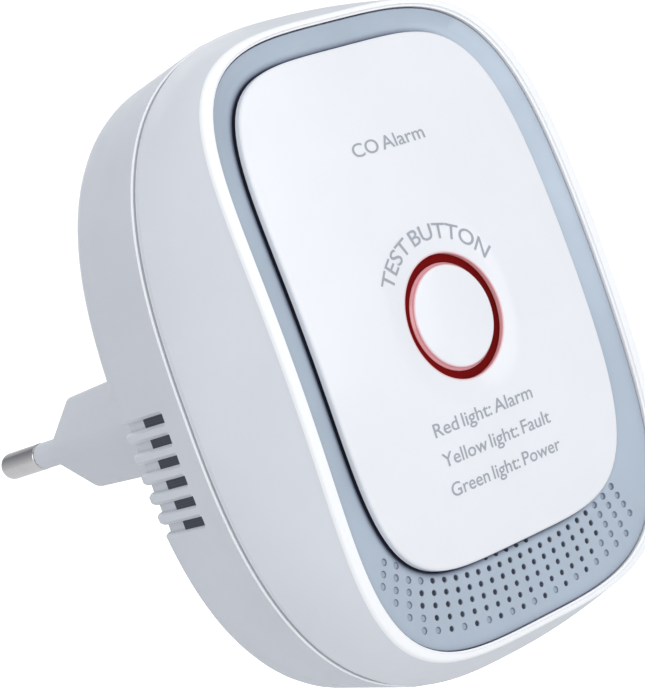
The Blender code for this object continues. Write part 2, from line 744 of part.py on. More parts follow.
def capacitors(mats, home):
    """Two electrolytics, and the box-shaped mains filter capacitor."""
    can_mat, film_mat = mats
    far = POWER_BOARD_DEPTH - GAP
    z, radius, length = BULK_CAPACITOR
    near = far - length
    profile = [
        (0.0, far), (radius - 0.1, far), (radius, far - 0.3), (radius, near + 0.4), (radius - 0.3, near),
        (0.0, near),
    ]
    for n, x in enumerate(BULK_CAPACITOR_X, start=1):
        turned(f"bulk_capacitor_{n}", profile, can_mat, home, (x, back(0.0), z + BODY_RISE), 20)
    x, z = FILTER_CAPACITOR
    shape = box((5.0, 9.5, 12.0), (x, back(far - 4.75), z + BODY_RISE))
    bevelled(add("filter_capacitor", shape, film_mat, home, smooth=False), 0.5, 1)


def fuse_and_varistor(mats, home):
    """Can fuse and dipped disc varistor across the mains input."""
    fuse_mat, varistor_mat = mats
    far = POWER_BOARD_DEPTH - GAP
    x, z, radius, length = FUSE
    near = far - length
    can = [
        (0.0, far), (radius - 0.1, far), (radius, far - 0.3), (radius, near + 0.4), (radius - 0.3, near),
        (0.0, near),
    ]
    turned("fuse", can, fuse_mat, home, (x, back(0.0), z + BODY_RISE), 16)
    x, z, radius, thick = VARISTOR
    middle = back(far - radius - GAP)
    up = z + BODY_RISE
    disc = rod(radius, (x - thick / 2, middle, up), (x + thick / 2, middle, up), 20)
    bevelled(add("varistor", disc, varistor_mat, home), 0.5, 2)


# --- Plug ----------------------------------------------------------------------------------------

def boss_outline(growth, per_corner=4):
    """Flattened hexagon with rounded tips and eased corners, grown outwards by a distance."""
    flat = BOSS_FLAT + growth * 0.4
    tip = BOSS_TIP + growth * 1.4
    high = BOSS_HEIGHT + growth
    corners = [
        ((tip, 0.0), BOSS_TIP_ROUND), ((flat, high), 1.2), ((-flat, high), 1.2),
        ((-tip, 0.0), BOSS_TIP_ROUND), ((-flat, -high), 1.2), ((flat, -high), 1.2),
    ]
    points = []
    total = len(corners)
    for i, (corner, radius) in enumerate(corners):
        here = Vector(corner)
        before = (Vector(corners[i - 1][0]) - here).normalized()
        after = (Vector(corners[(i + 1) % total][0]) - here).normalized()
        half = before.angle(after) / 2
        centre = here + (before + after).normalized() * radius / math.sin(half)
        run = radius / math.tan(half)
        start = here + before * run - centre
        end = here + after * run - centre
        swing = start.angle_signed(end)
        for k in range(per_corner + 1):
            step = Matrix.Rotation(-swing * k / per_corner, 2)
            points.append(centre + step @ start)
    return points


def plug_body(mat, home, cutters):
    """Insulating boss that enters the socket, with a tenon behind it through the plinth."""
    root = PLINTH_DEPTH + GAP
    rings = []
    for depth, growth in ((PLUG_REACH, -0.6), (PLUG_REACH - 0.6, 0.0), (root, BOSS_DRAFT)):
        rings.append([Vector((x, back(depth), z)) for x, z in boss_outline(growth)])
    obj = add("plug_body", loft(rings, closed=False), mat, home)
    tenon = []
    for depth in (root - TENON_LENGTH, root + 3.0):
        tenon.append([Vector((x, back(depth), z)) for x, z in squircle(*TENON, 4.0, 4.0, 40)])
    boolean(obj, loft(tenon, closed=False), cutters, "UNION")
    for x in (-PIN_SPACING / 2, PIN_SPACING / 2):
        bore = rod(SHANK_RADIUS + GAP, (x, back(30.0), 0.0), (x, 5.0, 0.0), 14)
        boolean(obj, bore, cutters)
        socket = rod(PIN_RADIUS + GAP, (x, -SLEEVE_ROOT - GAP, 0.0), (x, 5.0, 0.0), 20)
        boolean(obj, socket, cutters)


def pins(mats, home):
    """Two round contacts, each a nickel shank with a full tip, and an insulating sleeve."""
    pin_mat, sleeve_mat = mats
    shoulder = SLEEVE_LENGTH + GAP
    contact = [(0.0, PIN_LENGTH)]
    for angle in (math.radians(25), math.radians(50), math.radians(70), math.radians(90)):
        contact.append((PIN_RADIUS * math.sin(angle), PIN_LENGTH - 1.3 * (1 - math.cos(angle))))
    contact += [
        (PIN_RADIUS, shoulder), (SHANK_RADIUS, shoulder), (SHANK_RADIUS, back(PIN_ROOT)),
        (0.0, back(PIN_ROOT)),
    ]
    outside = PIN_RADIUS - 0.05
    bore = SHANK_RADIUS + 0.25
    sleeve = [
        (outside, SLEEVE_LENGTH), (outside, -SLEEVE_ROOT), (bore, -SLEEVE_ROOT), (bore, SLEEVE_LENGTH),
    ]
    for x, label in ((-PIN_SPACING / 2, "left"), (PIN_SPACING / 2, "right")):
        turned(f"pin_{label}", contact, pin_mat, home, (x, 0.0, 0.0), 20)
        turned(f"pin_sleeve_{label}", sleeve, sleeve_mat, home, (x, 0.0, 0.0), 20)


def contacts_and_leads(mats, home, cutters):
    """Brass lug on each pin's inner end, and the insulated lead from it to the power board."""
    lug_mat, live_mat, neutral_mat = mats
    sides = ((-PIN_SPACING / 2, "neutral", neutral_mat), (PIN_SPACING / 2, "live", live_mat))
    for x, label, mat in sides:
        shape = box((5.0, 1.0, 6.4), (x, back(LUG_DEPTH), 0.6))
        lug = add(f"contact_lug_{label}", shape, lug_mat, home, smooth=False)
        bevelled(lug, 0.2, 1)
        hole = rod(SHANK_RADIUS + 0.1, (x, back(PIN_ROOT), 0.0), (x, back(LUG_DEPTH + 3.0), 0.0), 14)
        boolean(lug, hole, cutters)
        route = [
            (x, back(37.3), 3.0), (x, back(35.6), 3.4), (x * 0.85, back(33.4), 4.6),
            (x * 0.7, back(30.6), 4.4), (x * 0.62, back(28.2), 3.0),
        ]
        wire(f"mains_lead_{label}", eased(route, 4), 0.8, mat, home)


# --- Assembly ------------------------------------------------------------------------------------

def build():
    clear_scene()
    home = collection("carbon_monoxide_detector")
    cutters = collection("cutters")

    case_white = material("case_white", (0.80, 0.81, 0.83), 0.38)
    plate_white = material("plate_white", (0.86, 0.87, 0.89), 0.22)
    bezel_blue = material("bezel_blue", (0.44, 0.49, 0.56), 0.42)
    ring_red = material("ring_red", (0.42, 0.02, 0.02), 0.18)
    plug_white = material("plug_white", (0.74, 0.75, 0.77), 0.42)
    nickel = material("nickel", (0.72, 0.71, 0.70), 0.22, 1.0)
    brass = material("brass", (0.78, 0.57, 0.25), 0.30, 1.0)
    steel = material("steel", (0.55, 0.56, 0.58), 0.32, 1.0)
    board_green = material("board_green", (0.02, 0.20, 0.08), 0.45)
    black = material("black_plastic", (0.03, 0.03, 0.035), 0.5)
    ferrite = material("ferrite", (0.09, 0.09, 0.10), 0.7)
    tape = material("coil_tape", (0.85, 0.66, 0.10), 0.4)
    film_yellow = material("film_yellow", (0.80, 0.55, 0.08), 0.35)
    can_dark = material("can_sleeve", (0.05, 0.06, 0.16), 0.35)
    varistor_blue = material("varistor_blue", (0.04, 0.16, 0.42), 0.4)
    live_brown = material("live_brown", (0.24, 0.10, 0.04), 0.45)
    neutral_blue = material("neutral_blue", (0.05, 0.18, 0.50), 0.45)
    lamp_red = material("lamp_red", (0.70, 0.03, 0.02), 0.15)
    lamp_yellow = material("lamp_yellow", (0.80, 0.60, 0.04), 0.15)
    lamp_green = material("lamp_green", (0.05, 0.55, 0.10), 0.15)

    front_housing(case_white, home, cutters)
    rear_cover(case_white, home, cutters)
    case_screws(steel, home, cutters)
    bezel(bezel_blue, home, cutters)
    front_plate(plate_white, home)
    light_ring(ring_red, home)
    test_button(plate_white, home)
    main_board(board_green, home, cutters)
    switch_body(black, home, cutters)
    switch_plunger(plate_white, home)
    indicator_lamps((lamp_red, lamp_yellow, lamp_green), home)
    buzzer((black, brass), home)
    gas_sensor((steel, black), home)
    controller_chip(black, home)
    board_connector(black, home)
    power_board(board_green, home, cutters)
    board_screws(steel, home)
    transformer((ferrite, tape), home, cutters)
    capacitors((can_dark, film_yellow), home)
    fuse_and_varistor((black, varistor_blue), home)
    plug_body(plug_white, home, cutters)
    pins((nickel, plug_white), home)
    contacts_and_leads((brass, live_brown, neutral_blue), home, cutters)


build()
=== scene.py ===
import json
import math

import bmesh
import bpy
from mathutils import Matrix, Vector


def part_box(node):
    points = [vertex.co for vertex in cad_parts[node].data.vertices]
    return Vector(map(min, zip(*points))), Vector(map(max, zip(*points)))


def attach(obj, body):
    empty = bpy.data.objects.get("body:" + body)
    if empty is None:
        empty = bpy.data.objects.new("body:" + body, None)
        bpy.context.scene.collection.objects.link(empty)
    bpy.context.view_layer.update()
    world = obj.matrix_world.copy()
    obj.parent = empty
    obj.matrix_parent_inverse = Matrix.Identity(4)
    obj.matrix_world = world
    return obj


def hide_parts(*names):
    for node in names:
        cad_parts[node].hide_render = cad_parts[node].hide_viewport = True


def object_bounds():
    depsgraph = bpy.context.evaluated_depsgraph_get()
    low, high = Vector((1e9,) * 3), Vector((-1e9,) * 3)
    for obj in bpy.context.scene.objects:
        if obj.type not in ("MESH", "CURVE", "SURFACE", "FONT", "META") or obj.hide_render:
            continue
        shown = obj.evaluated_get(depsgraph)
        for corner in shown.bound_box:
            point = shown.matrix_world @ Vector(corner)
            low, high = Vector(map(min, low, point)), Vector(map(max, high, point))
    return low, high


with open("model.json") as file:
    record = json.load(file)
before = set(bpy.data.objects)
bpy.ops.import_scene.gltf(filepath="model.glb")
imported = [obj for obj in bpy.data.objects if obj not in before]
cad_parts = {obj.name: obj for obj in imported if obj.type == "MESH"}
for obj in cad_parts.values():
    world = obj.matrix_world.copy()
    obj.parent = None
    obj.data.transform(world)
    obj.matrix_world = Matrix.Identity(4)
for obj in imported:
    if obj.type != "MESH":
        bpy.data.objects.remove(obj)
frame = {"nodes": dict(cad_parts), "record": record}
cad_low, cad_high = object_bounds()

# Lengths below are in millimetres in the row frame: +X right, +Y into the wall, +Z up.
# A depth is measured back from the crown of the front plate.
MM = 0.001


def span(node):
    """Centre and size of a CAD node, in millimetres."""
    low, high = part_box(node)
    low = Vector(low) / MM
    high = Vector(high) / MM
    return (low + high) / 2, high - low


housing_centre, housing_size = span("front_housing")
bezel_centre, bezel_size = span("grille_bezel")
plate_centre, plate_size = span("front_plate")
button_centre, button_size = span("test_button")
cover_centre, cover_size = span("rear_cover")
pin_centre, pin_size = span("pin_right")
sleeve_centre, sleeve_size = span("pin_sleeve_right")
mounts = {mount["name"]: Vector(mount["pos_m"]) / MM for mount in frame["record"]["mounts"]}

GAP = 0.3                    # clearance between neighbouring pieces
WALL = 1.8                   # wall of the housing and of the cover
DOME = 0.0022                # depth gained per square millimetre of height
CROWN = plate_centre.y - plate_size.y / 2
BODY_Z = bezel_centre.z
PLATE_RISE = plate_centre.z - BODY_Z
PARTING_RISE = housing_centre.z - BODY_Z
BUTTON_Z = button_centre.z - BODY_Z
BUTTON_RADIUS = button_size.x / 2
RING_RADIUS = BUTTON_RADIUS + 1.3

# Squircle outlines: half width, half height, and the exponent along each axis
PARTING = (housing_size.x / 2, housing_size.z / 2, 2.7, 2.7)
BEZEL = (bezel_size.x / 2, bezel_size.z / 2, 3.6, 4.9)
RIM_INNER = (BEZEL[0] + GAP, BEZEL[1] + GAP, *BEZEL[2:])
RIM_OUTER = (BEZEL[0] + 2.1, BEZEL[1] + 1.3, *BEZEL[2:])
PLATE = (plate_size.x / 2, plate_size.z / 2, 4.5, 4.5)

# Front housing. A rounding is given as (width, depth)
RIM_CREST = -0.6
RIM_INSIDE_ROUND = (0.3, 0.35)
RIM_OUTSIDE_ROUND = (0.35, 0.55)
LEDGE_INSET = 2.6            # the ledge behind the bezel reaches this far inside its outline
LEDGE_FRONT = 3.0
LEDGE_BACK = 4.6
SIDE_STEPS = 16
PARTING_DEPTH = 15.0
EASED_EDGE = 1.3
# Inner faces of the side wall: share of the way to the parting line, spare wall, depth, dome
HOUSING_INSIDE = ((0.75, 0.2, 9.2, 0.3), (0.35, 0.5, 5.6, 0.75))

# Front plate and bezel
PLATE_ROUND = (0.4, 0.32)
PLATE_EDGE = 0.95            # depth at which the plate's side ends, just above the bezel
PLATE_THICK = 3.0
PLATE_FOOT = 2.1             # the plate's foot is this far inside its outline
BEZEL_MOUTH = 1.6            # the bezel's opening is this far inside the plate's outline
BEZEL_INNER = 1.9
# Bezel's face beside the plate: distance outside the plate's outline, and depth
BEZEL_GUTTER = ((0.08, 1.43), (0.22, 1.32), (0.5, 1.19), (0.9, 1.07), (1.5, 0.97))
BEZEL_OUTER = 0.1
BEZEL_THICK = 1.5
BEZEL_GROWTH = 0.22          # the bezel reaches this much further out than the CAD's

# Sound grille: first and last open column of each row, and the columns that dimples reach
GRILLE_ROWS = ((-4, 1), (-8, 7), (-9, 7), (-9, 7), (-8, 6), (-7, 5))
DIMPLE_COLUMNS = (-12, 10)
GRILLE_ROW_PITCH = 1.507
GRILLE_PITCH = 1.903
GRILLE_SHIFT = -0.35
GRILLE_TOP = -31.28
GRILLE_BOW = (0.0065, 0.000006)
GRILLE_HOLE = 0.32
GRILLE_MARGIN = 1.3          # places closer than this to the bezel's outline are left out
DIMPLE_RADIUS = 0.49
MESH_SINK = (0.28, 0.5)      # front and back of the dark mesh discs that paint hole shade, below the bezel's face

# Test button and light ring
BUTTON_FLARE = 0.4           # the foot is this much wider than the cap
BUTTON_ROUND = (0.45, 0.37)
BUTTON_CROWN = 0.12
BUTTON_THICK = 1.7
BUTTON_WALL = 0.9
BUTTON_SKIRT_END = 5.4
BUTTON_STEM = 1.8
BUTTON_STEM_END = 7.2
RING_SINK = 0.6              # the ring's front lies this far below the plate
RING_END = 7.2
COLLAR_FRONT = 3.3           # the ring's collar sits behind the plate
COLLAR_BACK = 4.1
COLLAR_WIDTH = 1.6

# Rear cover: its shell, the plinth's outlines, and the wells of the case screws
BACK_DEPTH = mounts["cover_back"].y - CROWN
BACK_ROUND = 6.0
COVER_DRAFT = 1.1
COVER_STRAIGHT = BACK_DEPTH - BACK_ROUND
COVER_ROUND = (0.22, 0.45)   # at the parting line
TONGUE_THICK = 0.9           # the cover's tongue fits inside the housing's wall
TONGUE_LENGTH = 1.3
TONGUE_ROOT = 3.0
PLINTH_DEPTH = cover_centre.y + cover_size.y / 2 - CROWN
PLINTH_FOOT = (23.6, 17.6, 3.0, 3.0)
PLINTH_SHOULDER = (17.6, 12.0, 2.8, 2.8)
PLINTH_HOLLOW = ((15.4, 9.8, 2.8, 2.8), (20.4, 14.4, 3.0, 3.0))
PLINTH_FLOOR = 2.0
SOCKET = (12.9, 4.5, 4.0, 4.0)
WELL_RADIUS = 3.0
WELL_WALL = 0.7
WELL_DEPTH = 4.7
WELL_FRONT = 18.2
SCREW_BORE = 1.6

# Side vents
VENT_COUNT = 6
VENT_PITCH = 2.69
VENT_TOP = 0.1
VENT_HEIGHT = 1.15
VENT_FRONT = 19.9
VENT_WINDOW_END = 25.0
VENT_WINDOW = WALL + 1.2     # depth of the cut that goes through the wall
VENT_GROOVE = 0.9
VENT_ROUND = 0.42            # depth over which the ribs between slots round off
VENT_MESH = 0.3              # thickness of the mesh

# Plug
BOSS_ROOT = PLINTH_DEPTH + GAP
PLUG_REACH = mounts["plug_face"].y - CROWN
BOSS_FLAT = 8.8              # half widths of the boss: of its flat top, and at its tips
BOSS_TIP = 15.5
BOSS_HALF_HEIGHT = 6.85
BOSS_FLARE = 0.9             # the boss is this much larger at its root
BOSS_ROUND = 0.6
TENON = (12.6, 4.2, 4.0, 4.0)
POCKET_RADIUS = 2.12
BORE_RADIUS = 1.65
SLEEVE_TRIM = 0.9            # the sleeves end this much short of the CAD's
SLEEVE_BORE = 1.5
PIN_CORE = 1.35
PIN_TIP = 1.3

OUTLINE_STEPS = 208
TURN_STEPS = 96
SHARP_EDGE = math.radians(38)  # edges that bend more than this stay sharp


# --- Materials -----------------------------------------------------------------------------------

def link(tree, out, into):
    tree.links.new(out, into)


def math_node(tree, operation, first, second=0.0):
    """A Math node whose inputs are sockets or numbers."""
    node = tree.nodes.new("ShaderNodeMath")
    node.operation = operation
    for socket, value in zip(node.inputs, (first, second)):
        if isinstance(value, (int, float)):
            socket.default_value = value
        else:
            link(tree, value, socket)
    return node.outputs[0]


def spread(tree, value, low, high, low_out, high_out):
    """Map a value from one range to another, clamped."""
    node = tree.nodes.new("ShaderNodeMapRange")
    link(tree, value, node.inputs["Value"])
    ends = {"From Min": low, "From Max": high, "To Min": low_out, "To Max": high_out}
    for name, number in ends.items():
        node.inputs[name].default_value = number
    return node.outputs["Result"]


def noise(tree, place, size, detail=3.0):
    """Noise whose blotches are about this many millimetres across."""
    node = tree.nodes.new("ShaderNodeTexNoise")
    node.inputs["Scale"].default_value = 1 / (size * MM)
    node.inputs["Detail"].default_value = detail
    link(tree, place, node.inputs["Vector"])
    return node.outputs["Fac"]


def mixed_color(tree, share, first, second):
    node = tree.nodes.new("ShaderNodeMix")
    node.data_type = "RGBA"
    if isinstance(share, (int, float)):
        node.inputs["Factor"].default_value = share
    else:
        link(tree, share, node.inputs["Factor"])
    for socket, value in ((node.inputs[6], first), (node.inputs[7], second)):
        if isinstance(value, tuple):
            socket.default_value = (*value, 1.0)
        else:
            link(tree, value, socket)
    return node.outputs[2]


def finish(name, color, roughness, metallic=0.0, coat=0.0, grain=0.25, relief=0.004, tint=0.03,
           vary=0.05, stretch=(1.0, 1.0, 1.0)):
    """A surface with fine relief, slow colour drift and uneven gloss.

    grain is the size of the relief's bumps and relief their height, both in millimetres.
    """
    made = bpy.data.materials.new(name)
    made.use_nodes = True
    tree = made.node_tree
    shader = tree.nodes["Principled BSDF"]
    coords = tree.nodes.new("ShaderNodeTexCoord").outputs["Object"]
    mapping = tree.nodes.new("ShaderNodeMapping")
    mapping.inputs["Scale"].default_value = stretch
    link(tree, coords, mapping.inputs["Vector"])
    place = mapping.outputs["Vector"]
    drift = spread(tree, noise(tree, place, 11.0), 0.35, 0.65, 0.0, 1.0)
    deep = tuple(channel * (1 - tint) for channel in color)
    pale = tuple(min(1.0, channel * (1 + tint)) for channel in color)
    link(tree, mixed_color(tree, drift, deep, pale), shader.inputs["Base Color"])
    smear = noise(tree, place, 3.0, 5.0)
    gloss = spread(tree, smear, 0.3, 0.7, max(0.0, roughness - vary), roughness + vary)
    link(tree, gloss, shader.inputs["Roughness"])
    shader.inputs["Metallic"].default_value = metallic
    shader.inputs["Coat Weight"].default_value = coat
    shader.inputs["Coat Roughness"].default_value = 0.08
    bump = tree.nodes.new("ShaderNodeBump")
    bump.inputs["Strength"].default_value = 1.0
    bump.inputs["Distance"].default_value = relief * MM
    link(tree, noise(tree, place, grain, 2.0), bump.inputs["Height"])
    link(tree, bump.outputs["Normal"], shader.inputs["Normal"])
    return made


def shader_of(made):
    return made.node_tree.nodes["Principled BSDF"]


def painted_ring_glow(made, radius, fade, glow):
    """Paint the light ring's red glow onto a white plastic, as pink beside the ring fading with
    distance.
    """
    tree = made.node_tree
    shader = shader_of(made)
    base = shader.inputs["Base Color"].links[0].from_socket
    coords = tree.nodes.new("ShaderNodeTexCoord").outputs["Object"]
    split = tree.nodes.new("ShaderNodeSeparateXYZ")
    link(tree, coords, split.inputs[0])
    across = math_node(tree, "POWER", split.outputs["X"], 2.0)
    lift = math_node(tree, "SUBTRACT", split.outputs["Z"], button_centre.z * MM)
    up = math_node(tree, "POWER", lift, 2.0)
    distance = math_node(tree, "SQRT", math_node(tree, "ADD", across, up))
    share = spread(tree, distance, (radius + fade) * MM, radius * MM, 0.0, 1.0)
    link(tree, mixed_color(tree, share, base, glow), shader.inputs["Base Color"])


def paint_crease_shade(made, reach, deep):
    """Paint shade into a finish where other surfaces crowd it within a reach in millimetres."""
    tree = made.node_tree
    shader = shader_of(made)
    base = shader.inputs["Base Color"].links[0].from_socket
    crowding = tree.nodes.new("ShaderNodeAmbientOcclusion")
    crowding.samples = 8
    crowding.inputs["Distance"].default_value = reach * MM
    share = spread(tree, crowding.outputs["AO"], 0.35, 0.92, 0.0, 1.0)
    link(tree, mixed_color(tree, share, deep, base), shader.inputs["Base Color"])


def darken_upward(made, deep):
    """Darken a metal where it faces up, as if it mirrored a dim ceiling over a bright table."""
    tree = made.node_tree
    shader = shader_of(made)
    base = shader.inputs["Base Color"].links[0].from_socket
    split = tree.nodes.new("ShaderNodeSeparateXYZ")
    link(tree, tree.nodes.new("ShaderNodeNewGeometry").outputs["Normal"], split.inputs[0])
    share = spread(tree, split.outputs["Z"], 0.0, 0.85, 0.0, 1.0)
    link(tree, mixed_color(tree, share, base, deep), shader.inputs["Base Color"])


def circuit_board(name, mask, copper):
    """Solder mask over a grid of tracks, with fine fibre relief."""
    made = finish(name, mask, 0.35, grain=0.5, relief=0.006, tint=0.12)
    tree = made.node_tree
    shader = shader_of(made)
    base = shader.inputs["Base Color"].links[0].from_socket
    coords = tree.nodes.new("ShaderNodeTexCoord").outputs["Object"]
    cells = tree.nodes.new("ShaderNodeTexVoronoi")
    cells.distance = "CHEBYCHEV"
    cells.feature = "F1"
    cells.inputs["Scale"].default_value = 1 / (2.4 * MM)
    link(tree, coords, cells.inputs["Vector"])
    tracks = spread(tree, cells.outputs["Distance"], 0.34, 0.38, 0.0, 0.6)
    link(tree, mixed_color(tree, tracks, base, copper), shader.inputs["Base Color"])
    return made


def woven(name, color, pitch):
    """Fine woven mesh cloth: crossed threads with dark gaps between them."""
    made = finish(name, color, 0.75, grain=0.2, relief=0.01)
    tree = made.node_tree
    shader = shader_of(made)
    base = shader.inputs["Base Color"].links[0].from_socket
    coords = tree.nodes.new("ShaderNodeTexCoord").outputs["Object"]
    threads = []
    for axis in ("Y", "Z"):
        waves = tree.nodes.new("ShaderNodeTexWave")
        waves.bands_direction = axis
        waves.inputs["Scale"].default_value = math.tau / (20 * pitch * MM)
        link(tree, coords, waves.inputs["Vector"])
        threads.append(waves.outputs["Fac"])
    cloth = math_node(tree, "MAXIMUM", *threads)
    dark = tuple(channel * 0.45 for channel in color)
    link(tree, mixed_color(tree, cloth, dark, base), shader.inputs["Base Color"])
    return made


CASE_WHITE = finish("moulded_case_white", (0.735, 0.755, 0.80), 0.36, grain=0.22, relief=0.003,
                    tint=0.012)
# Painted highlight: a whiter finish for the housing's rim and the cover's edge at the parting line.
RIM_HIGHLIGHT_WHITE = finish("painted_highlight_white", (0.95, 0.955, 0.965), 0.32, grain=0.3, relief=0.0008, tint=0.008)
COVER_WHITE = finish("moulded_cover_white", (0.64, 0.66, 0.71), 0.42, grain=0.20, relief=0.004,
                     tint=0.015)
PLATE_WHITE = finish("plate_gloss_white", (0.84, 0.85, 0.88), 0.18, coat=0.35, grain=1.6,
                     relief=0.0012, tint=0.008, vary=0.03)
BUTTON_WHITE = finish("button_gloss_white", (0.84, 0.85, 0.88), 0.18, coat=0.35, grain=1.2,
                      relief=0.0012, tint=0.008, vary=0.03)
BEZEL_BLUE = finish("bezel_satin_blue", (0.445, 0.515, 0.60), 0.33, metallic=0.25, coat=0.25,
                    grain=0.12, relief=0.0018, tint=0.03)
# Painted shadow: dark navy for the shaded gap under the plate's lip.
SHADOW_GAP_NAVY = finish("painted_shadow_navy", (0.10, 0.11, 0.18), 0.6, grain=0.2, relief=0.003, tint=0.1)
RING_RED = finish("light_ring_red", (0.15, 0.0008, 0.0008), 0.45, grain=0.6, relief=0.002,
                  tint=0.18)
PLUG_WHITE = finish("plug_white", (0.62, 0.635, 0.68), 0.44, grain=0.2, relief=0.004, tint=0.015)
NICKEL = finish("nickel_plate", (0.70, 0.68, 0.67), 0.20, metallic=1.0, grain=0.35, relief=0.0025,
                tint=0.05, stretch=(1.0, 6.0, 1.0))
STEEL = finish("zinc_steel", (0.56, 0.57, 0.60), 0.32, metallic=1.0, grain=0.4, relief=0.004,
               tint=0.08)
BRASS = finish("stamped_brass", (0.78, 0.56, 0.24), 0.30, metallic=1.0, grain=0.4, relief=0.004,
               tint=0.08)
INK = finish("printed_grey", (0.36, 0.385, 0.43), 0.45, grain=0.15, relief=0.001, tint=0.03)
# Dark mesh cloth; in the sound holes its dark discs also paint the shade inside each hole.
MESH_CLOTH_AND_HOLE_SHADE = woven("vent_mesh", (0.052, 0.056, 0.078), 0.35)
BOARD = circuit_board("solder_mask_green", (0.015, 0.16, 0.06), (0.03, 0.26, 0.10))
BLACK = finish("black_moulding", (0.03, 0.031, 0.034), 0.5, grain=0.25, relief=0.005, tint=0.15)
FERRITE = finish("sintered_ferrite", (0.085, 0.085, 0.09), 0.68, grain=0.3, relief=0.012, tint=0.2)
TAPE = finish("winding_tape", (0.85, 0.62, 0.09), 0.34, coat=0.3, grain=0.5, relief=0.008,
              tint=0.06, stretch=(1.0, 0.2, 1.0))
FILM = finish("capacitor_box", (0.78, 0.52, 0.07), 0.32, grain=0.3, relief=0.006, tint=0.05)
CAN = finish("capacitor_sleeve", (0.045, 0.055, 0.15), 0.28, coat=0.4, grain=0.7, relief=0.005,
             tint=0.15)
DIPPED = finish("dipped_epoxy_blue", (0.035, 0.14, 0.40), 0.25, coat=0.5, grain=1.0, relief=0.02,
                tint=0.12)
LIVE = finish("lead_brown", (0.22, 0.09, 0.035), 0.42, grain=0.4, relief=0.006, tint=0.1)
NEUTRAL = finish("lead_blue", (0.045, 0.16, 0.46), 0.42, grain=0.4, relief=0.006, tint=0.1)
LENS_RED, LENS_YELLOW, LENS_GREEN = (
    finish(f"lens_{name}", color, 0.08, coat=0.8, grain=0.8, relief=0.002, tint=0.08)
    for name, color in (
        ("red", (0.65, 0.02, 0.015)), ("yellow", (0.78, 0.56, 0.03)), ("green", (0.04, 0.50, 0.09))
    )
)

# Painted light: the ring's red glow, pink on the plate round the ring and on the button's edge.
painted_ring_glow(PLATE_WHITE, RING_RADIUS + 0.22, 0.3, (0.80, 0.42, 0.44))
painted_ring_glow(BUTTON_WHITE, BUTTON_RADIUS + 0.12, -0.25, (0.80, 0.34, 0.37))
darken_upward(NICKEL, (0.10, 0.105, 0.12))
# Painted shade: the bezel darkens in its gutter by the plate, in its holes and dimples, and by the
# rim.
paint_crease_shade(BEZEL_BLUE, 1.3, (0.10, 0.12, 0.20))
shader_of(RING_RED).inputs["Specular IOR Level"].default_value = 0.05


# --- Shapes --------------------------------------------------------------------------------------

def back(depth):
    """Row Y of a point at this depth behind the front's crown."""
    return CROWN + depth


def squircle(outline, steps=OUTLINE_STEPS):
    """Points of |x/w|^p + |z/h|^q = 1 at even polar angles."""
    half_w, half_h, exp_x, exp_z = outline
    points = []
    for i in range(steps):
        angle = math.tau * i / steps
        across = abs(math.cos(angle)) / half_w
        up = abs(math.sin(angle)) / half_h
        low = 0.0
        high = 1.5 * max(half_w, half_h)
        for _ in range(34):
            radius = (low + high) / 2
            if (radius * across) ** exp_x + (radius * up) ** exp_z > 1:
                high = radius
            else:
                low = radius
        points.append((radius * math.cos(angle), radius * math.sin(angle)))
    return points


def shrunk(outline, inset):
    half_w, half_h, exp_x, exp_z = outline
    return (half_w - inset, half_h - inset, exp_x, exp_z)


def mixed(first, second, share):
    return tuple(a + (b - a) * share for a, b in zip(first, second))


def ring(outline, depth, dome=0.0, rise=0.0):
    """A closed ring of points at a depth, following the front's crown by the given share."""
    points = []
    for x, z in squircle(outline):
        z += rise
        points.append(Vector((x, back(depth + dome * DOME * z * z), z + BODY_Z)))
    return points


def arc(start, end, swing_out, steps=5):
    """Quarter ellipse between two (inset, depth) points, leaving along depth or along inset."""
    points = []
    for i in range(steps + 1):
        angle = math.pi / 2 * i / steps
        first = math.sin(angle)
        second = 1 - math.cos(angle)
        if swing_out:
            first, second = second, first
        inset = start[0] + (end[0] - start[0]) * first
        points.append((inset, start[1] + (end[1] - start[1]) * second))
    return points


def loft(rings, closed=True):
    bm = bmesh.new()
    rows = [[bm.verts.new(point) for point in points] for points in rings]
    pairs = list(zip(rows, rows[1:]))
    if closed:
        pairs.append((rows[-1], rows[0]))
    for near, far in pairs:
        for i in range(len(near)):
            j = (i + 1) % len(near)
            bm.faces.new((near[i], far[i], far[j], near[j]))
    if not closed:
        bm.faces.new(rows[0])
        bm.faces.new(list(reversed(rows[-1])))
    bmesh.ops.recalc_face_normals(bm, faces=bm.faces)
    return bm


def turned(profile, centre, steps=TURN_STEPS, closed=False):
    """Turn (radius, depth) points about an axis along Y through a point."""
    bm = bmesh.new()
    rows = []
    for radius, depth in profile:
        if radius == 0:
            rows.append([bm.verts.new((centre[0], depth, centre[1]))])
            continue
        row = []
        for i in range(steps):
            angle = math.tau * i / steps
            x = centre[0] + radius * math.cos(angle)
            z = centre[1] + radius * math.sin(angle)
            row.append(bm.verts.new((x, depth, z)))
        rows.append(row)
    pairs = list(zip(rows, rows[1:]))
    if closed:
        pairs.append((rows[-1], rows[0]))
    for near, far in pairs:
        for i in range(steps):
            j = (i + 1) % steps
            if len(near) == 1:
                bm.faces.new((near[0], far[i], far[j]))
            elif len(far) == 1:
                bm.faces.new((near[i], far[0], near[j]))
            else:
                bm.faces.new((near[i], far[i], far[j], near[j]))
    bmesh.ops.recalc_face_normals(bm, faces=bm.faces)
    return bm


def joined(shapes):
    whole = bmesh.new()
    for shape in shapes:
        mesh = bpy.data.meshes.new("part")
        shape.to_mesh(mesh)
        shape.free()
        whole.from_mesh(mesh)
        bpy.data.meshes.remove(mesh)
    return whole


